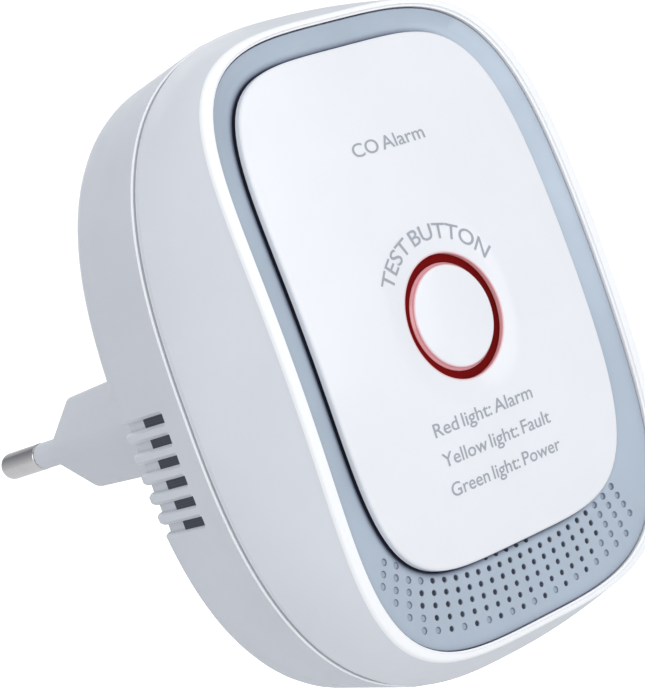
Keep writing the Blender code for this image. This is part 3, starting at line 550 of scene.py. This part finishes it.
def piece(name, bm, mat, body="case", nodes=()):
    """A finished piece of the object, in place, riding on its body."""
    bm.transform(Matrix.Scale(MM, 4))
    mesh = bpy.data.meshes.new(name)
    bm.to_mesh(mesh)
    bm.free()
    mesh.shade_smooth()
    mesh.set_sharp_from_angle(angle=SHARP_EDGE)
    obj = bpy.data.objects.new(name, mesh)
    bpy.context.scene.collection.objects.link(obj)
    mesh.materials.append(mat)
    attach(obj, body)
    if nodes:
        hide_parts(*nodes)
    return obj


def second_finish(obj, mat, first, last):
    """Give a piece lofted from rings another finish from its first band of faces up to its last."""
    obj.data.materials.append(mat)
    for face in obj.data.polygons[OUTLINE_STEPS * first:OUTLINE_STEPS * last]:
        face.material_index = 1


def carve(obj, bm, operation="DIFFERENCE"):
    """Cut a shape away from a piece, or join it on, and keep the result as its mesh."""
    bm.transform(Matrix.Scale(MM, 4))
    mesh = bpy.data.meshes.new("tool")
    bm.to_mesh(mesh)
    bm.free()
    tool = bpy.data.objects.new("tool", mesh)
    bpy.context.scene.collection.objects.link(tool)
    made = obj.modifiers.new("Carve", "BOOLEAN")
    made.operation = operation
    made.object = tool
    made.solver = "EXACT"
    graph = bpy.context.evaluated_depsgraph_get()
    result = bpy.data.meshes.new_from_object(obj.evaluated_get(graph))
    obj.modifiers.remove(made)
    obj.data = result
    result.shade_smooth()
    result.set_sharp_from_angle(angle=SHARP_EDGE)
    bpy.data.objects.remove(tool, do_unlink=True)


# --- Front ---------------------------------------------------------------------------------------

def front_housing():
    """Flared side wall with a rounded rim painted whiter as a highlight, and an eased edge at the
    parting line.
    """
    ledge = shrunk(BEZEL, LEDGE_INSET)
    rings = [ring(ledge, LEDGE_FRONT, 1.0), ring(RIM_INNER, BEZEL_INNER, 1.0)]
    width, drop = RIM_INSIDE_ROUND
    for inset, depth in arc((0.0, RIM_CREST + drop), (-width, RIM_CREST), False):
        rings.append(ring(shrunk(RIM_INNER, inset), depth, 1.0))
    width, drop = RIM_OUTSIDE_ROUND
    for inset, depth in arc((width, RIM_CREST), (0.0, RIM_CREST + drop), False):
        rings.append(ring(shrunk(RIM_OUTER, inset), depth, 1.0))
    rim_end = len(rings) - 1
    start = RIM_CREST + drop
    end = PARTING_DEPTH - GAP / 2
    reach = PARTING_DEPTH - EASED_EDGE - start
    for i in range(1, SIDE_STEPS + 1):
        u = i / SIDE_STEPS
        share = 1 - (1 - u) ** 1.4
        outline = mixed(RIM_OUTER, PARTING, share)
        rings.append(ring(outline, start + reach * u, (1 - u) ** 1.2, PARTING_RISE * share))
    for inset, depth in arc((0.0, start + reach), (0.34, end), False, 4)[1:]:
        rings.append(ring(shrunk(PARTING, inset), depth, rise=PARTING_RISE))
    rings.append(ring(shrunk(PARTING, WALL), end, rise=PARTING_RISE))
    for share, spare, depth, dome in HOUSING_INSIDE:
        inner = shrunk(mixed(RIM_OUTER, PARTING, share), WALL + spare)
        rings.append(ring(inner, depth, dome, PARTING_RISE * share))
    rings.append(ring(ledge, LEDGE_BACK, 1.0))
    shape = loft(rings)
    obj = piece("housing_shell", shape, CASE_WHITE, nodes=("front_housing",))
    # Painted highlight: the rim band takes the whiter finish.
    second_finish(obj, RIM_HIGHLIGHT_WHITE, 1, rim_end)


def inside(outline, x, z, rise=0.0):
    half_w, half_h, exp_x, exp_z = outline
    return (abs(x) / half_w) ** exp_x + (abs(z - rise) / half_h) ** exp_z < 1


def grille_places():
    """Centre of each place in the grille, and whether it is open or only a dimple.

    Rows bow up towards the corners and columns run square to them. The first row is half under
    the plate's edge, and the last is open at every second column.
    """
    square, fourth = GRILLE_BOW
    last_row = len(GRILLE_ROWS) - 2
    places = []
    for row, (first, last) in enumerate(GRILLE_ROWS, start=-1):
        for column in range(DIMPLE_COLUMNS[0], DIMPLE_COLUMNS[1] + 1):
            x = GRILLE_PITCH * column + GRILLE_SHIFT
            z = GRILLE_TOP + square * x ** 2 + fourth * x ** 4
            slope = 2 * square * x + 4 * fourth * x ** 3
            drop = GRILLE_ROW_PITCH * row / math.hypot(1.0, slope)
            x += drop * slope
            z -= drop
            through = first <= column <= last and not (row == last_row and column % 2 == 0)
            clear = 0.05 if through else -0.3
            if not inside(shrunk(BEZEL, GRILLE_MARGIN), x, z):
                continue
            if not inside(shrunk(PLATE, clear), x, z, PLATE_RISE):
                places.append((x, z, through))
    return places


def bezel_stations():
    """Outline, its rise, and depth of the bezel's face, from the plate out to the rim."""
    stations = [(shrunk(PLATE, -lap), PLATE_RISE, depth) for lap, depth in BEZEL_GUTTER]
    return stations + [(BEZEL, 0.0, BEZEL_OUTER)]


def bezel_depth(x, z):
    """Depth of the bezel's face at a place, before the crown is added."""
    stations = bezel_stations()
    for near, far in zip(stations, stations[1:]):
        if inside(far[0], x, z, far[1]):
            break
    low = 0.0
    high = 1.0
    for _ in range(30):
        share = (low + high) / 2
        if inside(mixed(near[0], far[0], share), x, z, near[1] + (far[1] - near[1]) * share):
            high = share
        else:
            low = share
    return near[2] + (far[2] - near[2]) * share


def grille_level(x, z):
    """Row Y of the bezel's face at a place."""
    return back(bezel_depth(x, z) + DOME * z * z)


def grille_bezel():
    """Satin trim between the rim and the front plate: a gutter round the plate, and sound holes."""
    mouth = shrunk(PLATE, BEZEL_MOUTH)
    rings = [
        ring(mouth, 2.9, 1.0, PLATE_RISE),
        ring(shrunk(PLATE, 0.1), 2.6, 1.0, PLATE_RISE),
    ]
    for outline, rise, depth in bezel_stations()[:-1]:
        rings.append(ring(outline, depth, 1.0, rise))
    edge = shrunk(BEZEL, -BEZEL_GROWTH)
    for inset, depth in arc((0.15, BEZEL_OUTER), (0.0, BEZEL_OUTER + 0.15), False, 4):
        rings.append(ring(shrunk(edge, inset), depth, 1.0))
    rings.append(ring(edge, BEZEL_OUTER + BEZEL_THICK, 1.0))
    rings.append(ring(mouth, BEZEL_INNER + BEZEL_THICK, 1.0, PLATE_RISE))
    obj = piece("bezel_trim", loft(rings), BEZEL_BLUE, nodes=("grille_bezel",))
    # Painted shadow: the bezel's inner lip and first gutter band under the plate go dark navy.
    second_finish(obj, SHADOW_GAP_NAVY, 0, 3)
    holes = []
    for x, z, through in grille_places():
        level = grille_level(x, z)
        if through:
            flare = GRILLE_HOLE + 0.1
            profile = [(0.0, level - 0.5), (flare + 0.04, level - 0.5), (flare, level - 0.02),
                       (GRILLE_HOLE, level + 0.14), (GRILLE_HOLE, level + 4.0), (0.0, level + 4.0)]
        else:
            profile = [(0.0, level - 0.5), (DIMPLE_RADIUS + 0.05, level - 0.5),
                       (DIMPLE_RADIUS, level - 0.02), (0.38, level + 0.22), (0.0, level + 0.26)]
        holes.append(turned(profile, (x, z + BODY_Z), 20))
    carve(obj, joined(holes))


def grille_mesh_and_shade():
    """Dark dust mesh set as a disc in each open sound hole, its dark colour also painted shade."""
    radius = GRILLE_HOLE - 0.01
    discs = []
    for x, z, through in grille_places():
        if through:
            level = grille_level(x, z)
            near, far = (level + sink for sink in MESH_SINK)
            profile = [(0.0, near), (radius, near), (radius, far), (0.0, far)]
            discs.append(turned(profile, (x, z + BODY_Z), 16))
    piece("grille_mesh_and_shade", joined(discs), MESH_CLOTH_AND_HOLE_SHADE)


def front_plate():
    """Crowned plate with a soft edge that floats above the bezel, open for the light ring."""
    opening = RING_RADIUS + 0.2
    hole = (opening, opening, 2.0, 2.0)
    foot = shrunk(PLATE, PLATE_FOOT)
    soft_edge = arc((PLATE_ROUND[0], 0.0), (0.0, PLATE_ROUND[1]), False, 8)
    rings = []
    for growth, depth in ((0.0, 0.12), (0.04, 0.03), (0.12, 0.0)):
        rings.append(ring(shrunk(hole, -growth), depth, 1.0, BUTTON_Z))
    for share in (0.2, 0.4, 0.6, 0.8):
        middle = mixed(hole, shrunk(PLATE, 1.3), share)
        rings.append(ring(middle, 0.0, 1.0, BUTTON_Z + (PLATE_RISE - BUTTON_Z) * share))
    rings += [ring(shrunk(PLATE, inset), depth, 1.0, PLATE_RISE) for inset, depth in soft_edge]
    rings += [
        ring(PLATE, PLATE_EDGE, 1.0, PLATE_RISE),
        ring(shrunk(PLATE, 0.1), PLATE_EDGE + 0.1, 1.0, PLATE_RISE),
        ring(foot, PLATE_EDGE + 0.25, 1.0, PLATE_RISE),
        ring(foot, PLATE_THICK, 1.0, PLATE_RISE),
        ring(hole, PLATE_THICK, 1.0, BUTTON_Z),
    ]
    obj = piece("front_panel", loft(rings), PLATE_WHITE, nodes=("front_plate",))
    under = len(rings) - 4
    # Painted shadow: the plate's underside and foot go dark navy.
    second_finish(obj, SHADOW_GAP_NAVY, under, under + 3)


def light_ring():
    """Red light guide, set in a groove between the plate and the button."""
    inner = BUTTON_RADIUS + BUTTON_FLARE + 0.07
    outer = RING_RADIUS + 0.14
    skirt = BUTTON_RADIUS + GAP
    collar = RING_RADIUS + COLLAR_WIDTH
    profile = [
        (skirt, back(RING_END)), (RING_RADIUS, back(RING_END)), (RING_RADIUS, back(COLLAR_BACK)),
        (collar, back(COLLAR_BACK)), (collar, back(COLLAR_FRONT)), (outer, back(COLLAR_FRONT)),
        (outer, back(RING_SINK)), (inner, back(RING_SINK)), (inner, back(COLLAR_FRONT)),
        (skirt, back(COLLAR_FRONT + GAP)),
    ]
    shape = turned(profile, (0.0, button_centre.z), closed=True)
    piece("light_guide", shape, RING_RED, nodes=("light_ring",))


def test_button():
    """Push cap with a flared foot, slightly crowned, on its hollow stem."""
    radius = BUTTON_RADIUS
    foot = radius + BUTTON_FLARE
    bore = radius - BUTTON_WALL
    profile = [
        (0.0, back(BUTTON_STEM_END)), (BUTTON_STEM, back(BUTTON_STEM_END)),
        (BUTTON_STEM, back(BUTTON_THICK)), (bore, back(BUTTON_THICK)),
        (bore, back(BUTTON_SKIRT_END)), (radius, back(BUTTON_SKIRT_END)),
        (radius, back(BUTTON_THICK + GAP)), (foot, back(BUTTON_THICK)), (foot, back(RING_SINK)),
    ]
    width, drop = BUTTON_ROUND
    for i in range(9):
        angle = math.pi / 2 * i / 8
        edge = radius + 0.12 - width * (1 - math.cos(angle))
        profile.append((edge, back(0.34 - drop * math.sin(angle))))
    for share in (0.8, 0.6, 0.4, 0.2, 0.0):
        profile.append((radius * share, back(-0.03 - BUTTON_CROWN * (1 - share ** 2))))
    shape = turned(profile, (0.0, button_centre.z))
    piece("push_cap", shape, BUTTON_WHITE, body="button",
          nodes=("test_button",))


def printed(name, text, width, height, place):
    """Lettering printed on the front plate.

    place maps a letter point, in millimetres from the text's lower left corner, to (x, z) from
    the body's centre.
    """
    curve = bpy.data.curves.new(name, "FONT")
    curve.body = text
    curve.resolution_u = 4
    curve.space_word = 0.55
    curve.offset = 0.006
    words = bpy.data.objects.new(name, curve)
    bpy.context.scene.collection.objects.link(words)
    graph = bpy.context.evaluated_depsgraph_get()
    mesh = bpy.data.meshes.new_from_object(words.evaluated_get(graph))
    bpy.data.objects.remove(words, do_unlink=True)
    bm = bmesh.new()
    bm.from_mesh(mesh)
    bpy.data.meshes.remove(mesh)
    low = min(v.co.x for v in bm.verts)
    high = max(v.co.x for v in bm.verts)
    capital = max(v.co.y for v in bm.verts)
    for v in bm.verts:
        x, z = place((v.co.x - low) / (high - low) * width, v.co.y / capital * height)
        v.co = (x, back(DOME * z * z - 0.02), z + BODY_Z)
    for face in bm.faces:
        if face.normal.y > 0:
            face.normal_flip()
    piece(name, bm, INK)


def lettering():
    """Plain words: what the object is, what its button does, and what each lamp colour means."""
    printed("print_name", "CO Alarm", 12.6, 1.75, lambda x, z: (x - 6.0, z + 22.1))
    radius = 9.9
    sweep = math.radians(114)

    def round_ring(x, z):
        angle = math.pi / 2 + sweep / 2 - x / radius
        reach = radius + z
        return reach * math.cos(angle), reach * math.sin(angle) + BUTTON_Z

    printed("print_test", "TEST BUTTON", radius * sweep, 2.05, round_ring)
    rows = (
        ("print_alarm", "Red light: Alarm", 18.0, -13.4),
        ("print_fault", "Yellow light: Fault", 19.8, -17.2),
        ("print_power", "Green light: Power", 20.2, -20.95),
    )
    for name, text, width, level in rows:
        printed(name, text, width, 1.7, lambda x, z, level=level: (x - 9.6, z + level))


# --- Back ----------------------------------------------------------------------------------------

def half_width_at(outline, z):
    half_w, half_h, exp_x, exp_z = outline
    return half_w * (1 - (abs(z) / half_h) ** exp_z) ** (1 / exp_x)


def cover_reach(z, depth):
    """Half width of the cover's straight side, at a height from the body's centre and a depth."""
    slope = COVER_DRAFT * (COVER_STRAIGHT - depth) / (COVER_STRAIGHT - PARTING_DEPTH)
    return half_width_at(shrunk(PARTING, COVER_DRAFT), z - PARTING_RISE) + slope


def vent_cutter(side, z):
    """One slot: a window through the wall, then a groove that runs out round the back edge.

    Each section lists how far out and how far from the slot's middle its points are, from the
    floor up, so the ribs between slots have rounded tops.
    """
    half = VENT_HEIGHT / 2
    window = (
        (VENT_FRONT - 0.3, 0.0), (VENT_FRONT - 0.12, 0.08), (VENT_FRONT, 0.3),
        (VENT_FRONT + 0.02, VENT_WINDOW), (VENT_WINDOW_END - 0.02, VENT_WINDOW),
        (VENT_WINDOW_END, VENT_GROOVE),
    )
    groove = (
        (0, VENT_GROOVE), (15, VENT_GROOVE), (30, 0.88), (45, 0.8), (58, 0.62), (70, 0.35),
        (80, 0.0),
    )
    stations = []
    for depth, floor in window:
        stations.append((cover_reach(z, depth), 0.0, depth, 0.0, floor))
    pivot = cover_reach(z, COVER_STRAIGHT) - BACK_ROUND
    for degrees, floor in groove:
        stations.append((pivot, BACK_ROUND, COVER_STRAIGHT, math.radians(degrees), floor))
    rings = []
    for hub, radius, depth, angle, floor in stations:
        section = [(-floor, half)]
        for k in range(5):
            turn = math.pi / 2 * k / 4
            rise = min(floor, VENT_ROUND)
            widening = 0.36 * rise / VENT_ROUND * (1 - math.cos(turn) ** 0.8)
            section.append((-rise * math.cos(turn), half + widening))
        section.append((0.9, half + 0.5))
        points = []
        for mirrored, ordered in ((1, section), (-1, reversed(section))):
            for out, up in ordered:
                far = radius + out
                x = side * (hub + far * math.cos(angle))
                y = back(depth + far * math.sin(angle))
                points.append(Vector((x, y, z + mirrored * up + BODY_Z)))
        rings.append(points)
    return loft(rings, closed=False)


def case_screws():
    """Centre of each case screw."""
    return [span(f"case_screw_{n}")[0] for n in (1, 2, 3, 4)]


def rear_cover():
    """Back shell with a rounded edge, side vents, screw wells and the plinth under the plug."""
    drafted = shrunk(PARTING, COVER_DRAFT)
    front = PARTING_DEPTH + GAP / 2
    side_start = PARTING_DEPTH + COVER_ROUND[1]
    rings = []
    for inset, depth in arc((COVER_ROUND[0], front), (0.0, side_start), True, 4):
        rings.append(ring(shrunk(PARTING, inset), depth, rise=PARTING_RISE))
    for share in (0.33, 0.66, 1.0):
        depth = side_start + (COVER_STRAIGHT - side_start) * share
        rings.append(ring(shrunk(PARTING, COVER_DRAFT * share), depth, rise=PARTING_RISE))
    for degrees in range(10, 91, 10):
        angle = math.radians(degrees)
        inset = BACK_ROUND * (1 - math.cos(angle))
        depth = COVER_STRAIGHT + BACK_ROUND * math.sin(angle)
        rings.append(ring(shrunk(drafted, inset), depth, rise=PARTING_RISE))
    rings.append(ring(shrunk(PLINTH_FOOT, -1.2), BACK_DEPTH))
    for inset, rise in arc((-1.2, 0.0), (0.9, 1.4), False, 4)[1:]:
        rings.append(ring(shrunk(PLINTH_FOOT, inset), BACK_DEPTH + rise))
    rings.append(ring(PLINTH_SHOULDER, PLINTH_DEPTH - 1.2))
    for inset, rise in arc((0.25, -0.9), (1.1, 0.0), True, 4):
        rings.append(ring(shrunk(PLINTH_SHOULDER, inset), PLINTH_DEPTH + rise))
    rings += [
        ring(SOCKET, PLINTH_DEPTH, rise=-BODY_Z),
        ring(SOCKET, PLINTH_DEPTH - PLINTH_FLOOR, rise=-BODY_Z),
        ring(PLINTH_HOLLOW[0], PLINTH_DEPTH - PLINTH_FLOOR),
        ring(PLINTH_HOLLOW[1], BACK_DEPTH - WALL),
    ]
    inner_round = BACK_ROUND - WALL
    for degrees in (90, 60, 30):
        angle = math.radians(degrees)
        inset = WALL + inner_round * (1 - math.cos(angle))
        depth = COVER_STRAIGHT + inner_round * math.sin(angle)
        rings.append(ring(shrunk(drafted, inset), depth, rise=PARTING_RISE))
    tongue_outside = shrunk(PARTING, WALL + GAP)
    tongue_inside = shrunk(tongue_outside, TONGUE_THICK)
    rings += [
        ring(shrunk(drafted, WALL), COVER_STRAIGHT, rise=PARTING_RISE),
        ring(tongue_inside, PARTING_DEPTH + TONGUE_ROOT, rise=PARTING_RISE),
        ring(tongue_inside, PARTING_DEPTH - TONGUE_LENGTH, rise=PARTING_RISE),
        ring(tongue_outside, PARTING_DEPTH - TONGUE_LENGTH, rise=PARTING_RISE),
        ring(tongue_outside, front, rise=PARTING_RISE),
    ]
    obj = piece("back_shell", loft(rings), COVER_WHITE, nodes=("rear_cover",))
    # Painted highlight: the cover's rounded edge at the parting line takes the whiter finish.
    second_finish(obj, RIM_HIGHLIGHT_WHITE, 0, 3)
    slots = []
    for side in (-1, 1):
        for i in range(VENT_COUNT):
            slots.append(vent_cutter(side, VENT_TOP - VENT_PITCH * i))
    carve(obj, joined(slots))
    floor = back(BACK_DEPTH - WELL_DEPTH)
    outside = back(BACK_DEPTH + 0.6)
    mouth = WELL_RADIUS + 0.35
    profile = [
        (0.0, floor), (WELL_RADIUS, floor), (WELL_RADIUS, back(BACK_DEPTH - 0.6)),
        (mouth, back(BACK_DEPTH - 0.1)), (mouth + 0.9, outside), (0.0, outside),
    ]
    for centre in case_screws():
        carve(obj, turned(profile, (centre.x, centre.z), 40))


def well_linings():
    """Tubes that line the screw wells down to the screws' seats."""
    floor = back(BACK_DEPTH - WELL_DEPTH)
    outside = WELL_RADIUS + WELL_WALL
    profile = [
        (WELL_RADIUS, back(BACK_DEPTH - 0.9)), (outside, back(BACK_DEPTH - 1.9)),
        (outside, back(WELL_FRONT)), (SCREW_BORE, back(WELL_FRONT)), (SCREW_BORE, floor),
        (WELL_RADIUS, floor),
    ]
    for n, centre in enumerate(case_screws(), start=1):
        shape = turned(profile, (centre.x, centre.z), 40, closed=True)
        piece(f"screw_well_{n}", shape, COVER_WHITE)


def vent_cloth():
    """Dark mesh set in each window, just below the cover's face."""
    half = VENT_HEIGHT / 2 - 0.02
    for side, label in ((-1, "left"), (1, "right")):
        patches = []
        for i in range(VENT_COUNT):
            z = VENT_TOP - VENT_PITCH * i
            rings = []
            for depth in (VENT_FRONT + 0.04, VENT_WINDOW_END - 0.04):
                face = cover_reach(z, depth) - VENT_ROUND
                rear = face - VENT_MESH
                corners = ((face, half), (face, -half), (rear, -half), (rear, half))
                rings.append([Vector((side * x, back(depth), z + up + BODY_Z))
                              for x, up in corners])
            patches.append(loft(rings, closed=False))
        piece(f"vent_mesh_{label}", joined(patches), MESH_CLOTH_AND_HOLE_SHADE)


# --- Plug ----------------------------------------------------------------------------------------

def boss_outline(growth):
    """Flattened hexagon with rounded tips and eased corners, grown outwards by a distance."""
    flat = BOSS_FLAT + growth * 0.4
    tip = BOSS_TIP + growth * 1.4
    high = BOSS_HALF_HEIGHT + growth
    corners = [
        ((tip, 0.0), 2.2), ((flat, high), 1.4), ((-flat, high), 1.4),
        ((-tip, 0.0), 2.2), ((-flat, -high), 2.4), ((flat, -high), 2.4),
    ]
    points = []
    for i, (corner, radius) in enumerate(corners):
        here = Vector(corner)
        before = (Vector(corners[i - 1][0]) - here).normalized()
        after = (Vector(corners[(i + 1) % len(corners)][0]) - here).normalized()
        half = before.angle(after) / 2
        centre = here + (before + after).normalized() * radius / math.sin(half)
        run = radius / math.tan(half)
        start = here + before * run - centre
        swing = start.angle_signed(here + after * run - centre)
        for k in range(11):
            points.append(centre + Matrix.Rotation(-swing * k / 10, 2) @ start)
    return points


def plug_boss():
    """Insulating boss with a softly rounded end face, socketed for the two sleeves."""
    side_end = PLUG_REACH - BOSS_ROUND
    levels = []
    for k in range(6):
        angle = math.pi / 2 * k / 5
        growth = -BOSS_ROUND * (1 - math.sin(angle))
        levels.append((growth, side_end + BOSS_ROUND * math.cos(angle)))
    for share in (0.25, 0.5, 0.75, 0.985):
        levels.append((BOSS_FLARE * share, side_end - (side_end - BOSS_ROOT) * share))
    levels.append((BOSS_FLARE - 0.2, BOSS_ROOT))
    rings = []
    for growth, depth in levels:
        rings.append([Vector((x, back(depth), z)) for x, z in boss_outline(growth)])
    shape = loft(rings, closed=False)
    obj = piece("plug_boss", shape, PLUG_WHITE, nodes=("plug_body",))
    tenon = []
    for depth in (BOSS_ROOT - 6.0, BOSS_ROOT + 3.0):
        tenon.append([Vector((x, back(depth), z)) for x, z in squircle(TENON, 64)])
    carve(obj, loft(tenon, closed=False), "UNION")
    pocket = [(0.0, -2.3), (POCKET_RADIUS, -2.3), (POCKET_RADIUS, -0.12),
              (POCKET_RADIUS + 0.18, 0.1), (0.0, 0.1)]
    start = back(BOSS_ROOT - 7.0)
    bore = [(0.0, start), (BORE_RADIUS, start), (BORE_RADIUS, -1.0), (0.0, -1.0)]
    for x in (-pin_centre.x, pin_centre.x):
        carve(obj, turned(pocket, (x, 0.0), 48))
        carve(obj, turned(bore, (x, 0.0), 32))


def contact_pins():
    """Nickel pins with full tips, and the insulating sleeve round the root of each."""
    length = pin_centre.y + pin_size.y / 2
    root = pin_centre.y - pin_size.y / 2
    radius = pin_size.x / 2
    sleeve_end = sleeve_centre.y + sleeve_size.y / 2 - SLEEVE_TRIM
    sleeve_root = sleeve_centre.y - sleeve_size.y / 2
    sleeve_radius = sleeve_size.x / 2
    for x, label in ((-pin_centre.x, "left"), (pin_centre.x, "right")):
        profile = [(0.0, root), (PIN_CORE, root), (PIN_CORE, sleeve_end + 0.12),
                   (radius - 0.12, sleeve_end + 0.12), (radius, sleeve_end + 0.24)]
        for k in range(8):
            angle = math.pi / 2 * k / 8
            reach = length - PIN_TIP * (1 - math.sin(angle))
            profile.append((radius * math.cos(angle) ** 0.8, reach))
        profile.append((0.0, length))
        shape = turned(profile, (x, 0.0), 48)
        piece(f"contact_{label}", shape, NICKEL, nodes=(f"pin_{label}",))
        profile = [(SLEEVE_BORE, sleeve_root), (sleeve_radius, sleeve_root),
                   (sleeve_radius, sleeve_end - 0.15), (sleeve_radius - 0.12, sleeve_end),
                   (SLEEVE_BORE, sleeve_end)]
        shape = turned(profile, (x, 0.0), 48, closed=True)
        piece(f"sleeve_{label}", shape, PLUG_WHITE,
              nodes=(f"pin_sleeve_{label}",))


# --- Carried-over parts --------------------------------------------------------------------------

def dress_inside():
    """Procedural finishes for the CAD parts that stay."""
    finishes = (
        (BOARD, ("main_board", "power_board")),
        (BLACK, ("switch_body", "buzzer_case", "sensor_filter_cap", "controller_chip",
                 "board_connector", "fuse")),
        (BUTTON_WHITE, ("switch_plunger",)),
        (LENS_RED, ("lamp_red",)),
        (LENS_YELLOW, ("lamp_yellow",)),
        (LENS_GREEN, ("lamp_green",)),
        (BRASS, ("buzzer_disc", "contact_lug_live", "contact_lug_neutral")),
        (STEEL, ("gas_sensor", "board_screw_1", "board_screw_2", "board_screw_3",
                 "case_screw_1", "case_screw_2", "case_screw_3", "case_screw_4")),
        (FERRITE, ("transformer_core",)),
        (TAPE, ("transformer_coil",)),
        (CAN, ("bulk_capacitor_1", "bulk_capacitor_2")),
        (FILM, ("filter_capacitor",)),
        (DIPPED, ("varistor",)),
        (LIVE, ("mains_lead_live",)),
        (NEUTRAL, ("mains_lead_neutral",)),
    )
    for mat, nodes in finishes:
        for node in nodes:
            for spot in frame["nodes"][node].material_slots:
                spot.material = mat


# --- Studio --------------------------------------------------------------------------------------

def studio():
    """Pale floor and white surroundings that light the object softly."""
    floor_level = cad_low.z - 0.030
    bm = bmesh.new()
    bmesh.ops.create_grid(bm, x_segments=24, y_segments=24, size=6.0)
    bm.transform(Matrix.Translation((0.0, 0.0, floor_level)))
    mesh = bpy.data.meshes.new("floor")
    bm.to_mesh(mesh)
    bm.free()
    floor = bpy.data.objects.new("floor", mesh)
    bpy.context.scene.collection.objects.link(floor)
    paper = finish("floor_paper", (0.92, 0.92, 0.92), 0.9, grain=4.0, relief=0.02, tint=0.005)
    shader_of(paper).inputs["Emission Color"].default_value = (1.0, 1.0, 1.0, 1.0)
    tree = paper.node_tree
    seen = tree.nodes.new("ShaderNodeLightPath").outputs["Is Camera Ray"]
    link(tree, math_node(tree, "MULTIPLY", seen, 0.8), shader_of(paper).inputs["Emission Strength"])
    mesh.materials.append(paper)

    world = bpy.data.worlds.new("studio")
    bpy.context.scene.world = world
    world.use_nodes = True
    tree = world.node_tree
    backdrop = tree.nodes["Background"]
    backdrop.inputs["Color"].default_value = (1.0, 1.0, 1.0, 1.0)
    backdrop.inputs["Strength"].default_value = 1.15
    soft = tree.nodes.new("ShaderNodeBackground")
    soft.inputs["Color"].default_value = (0.93, 0.96, 1.0, 1.0)
    soft.inputs["Strength"].default_value = 0.64
    seen = tree.nodes.new("ShaderNodeLightPath")
    both = tree.nodes.new("ShaderNodeMixShader")
    link(tree, seen.outputs["Is Camera Ray"], both.inputs[0])
    link(tree, soft.outputs[0], both.inputs[1])
    link(tree, backdrop.outputs[0], both.inputs[2])
    link(tree, both.outputs[0], tree.nodes["World Output"].inputs["Surface"])


def area_light(name, place, aim, size, power):
    light = bpy.data.lights.new(name, "AREA")
    light.shape = "RECTANGLE"
    light.size = size[0]
    light.size_y = size[1]
    light.energy = power
    obj = bpy.data.objects.new(name, light)
    obj.location = place
    obj.rotation_euler = (Vector(aim) - Vector(place)).to_track_quat("-Z", "Y").to_euler()
    bpy.context.scene.collection.objects.link(obj)


def lights():
    """A broad key from the left of the front, a weaker one from its right, and a low top light."""
    middle = (0.0, CROWN * MM, BODY_Z * MM)
    area_light("key", (-0.75, -0.85, 0.35), middle, (0.7, 0.7), 2.5)
    area_light("front", (0.35, -1.05, 0.30), middle, (0.9, 0.9), 2.9)
    area_light("top", (-0.25, -0.20, 1.0), middle, (0.8, 0.8), 1.6)
    area_light("back", (0.45, 0.95, 0.35), middle, (0.7, 0.7), 0.9)


def camera():
    """The photograph's view: from the left of the front, level, the object leaning to the left."""
    lens = bpy.data.cameras.new("camera")
    lens.sensor_width = 36.0
    lens.lens = 129.1
    lens.clip_start = 0.01
    obj = bpy.data.objects.new("camera", lens)
    obj.location = (-0.2120, -0.29475, 0.00718)
    heading = math.radians(40.590)
    pitch = math.radians(-0.872)
    roll = math.radians(-19.660)
    turn = Matrix.Rotation(-heading, 4, "Z") @ Matrix.Rotation(math.pi / 2 + pitch, 4, "X")
    obj.rotation_euler = (turn @ Matrix.Rotation(roll, 4, "Z")).to_euler()
    bpy.context.scene.collection.objects.link(obj)
    bpy.context.scene.camera = obj


front_housing()
grille_bezel()
grille_mesh_and_shade()
front_plate()
light_ring()
test_button()
lettering()
rear_cover()
well_linings()
vent_cloth()
plug_boss()
contact_pins()
dress_inside()
studio()
lights()
camera()
bpy.context.scene.view_settings.view_transform = "Standard"
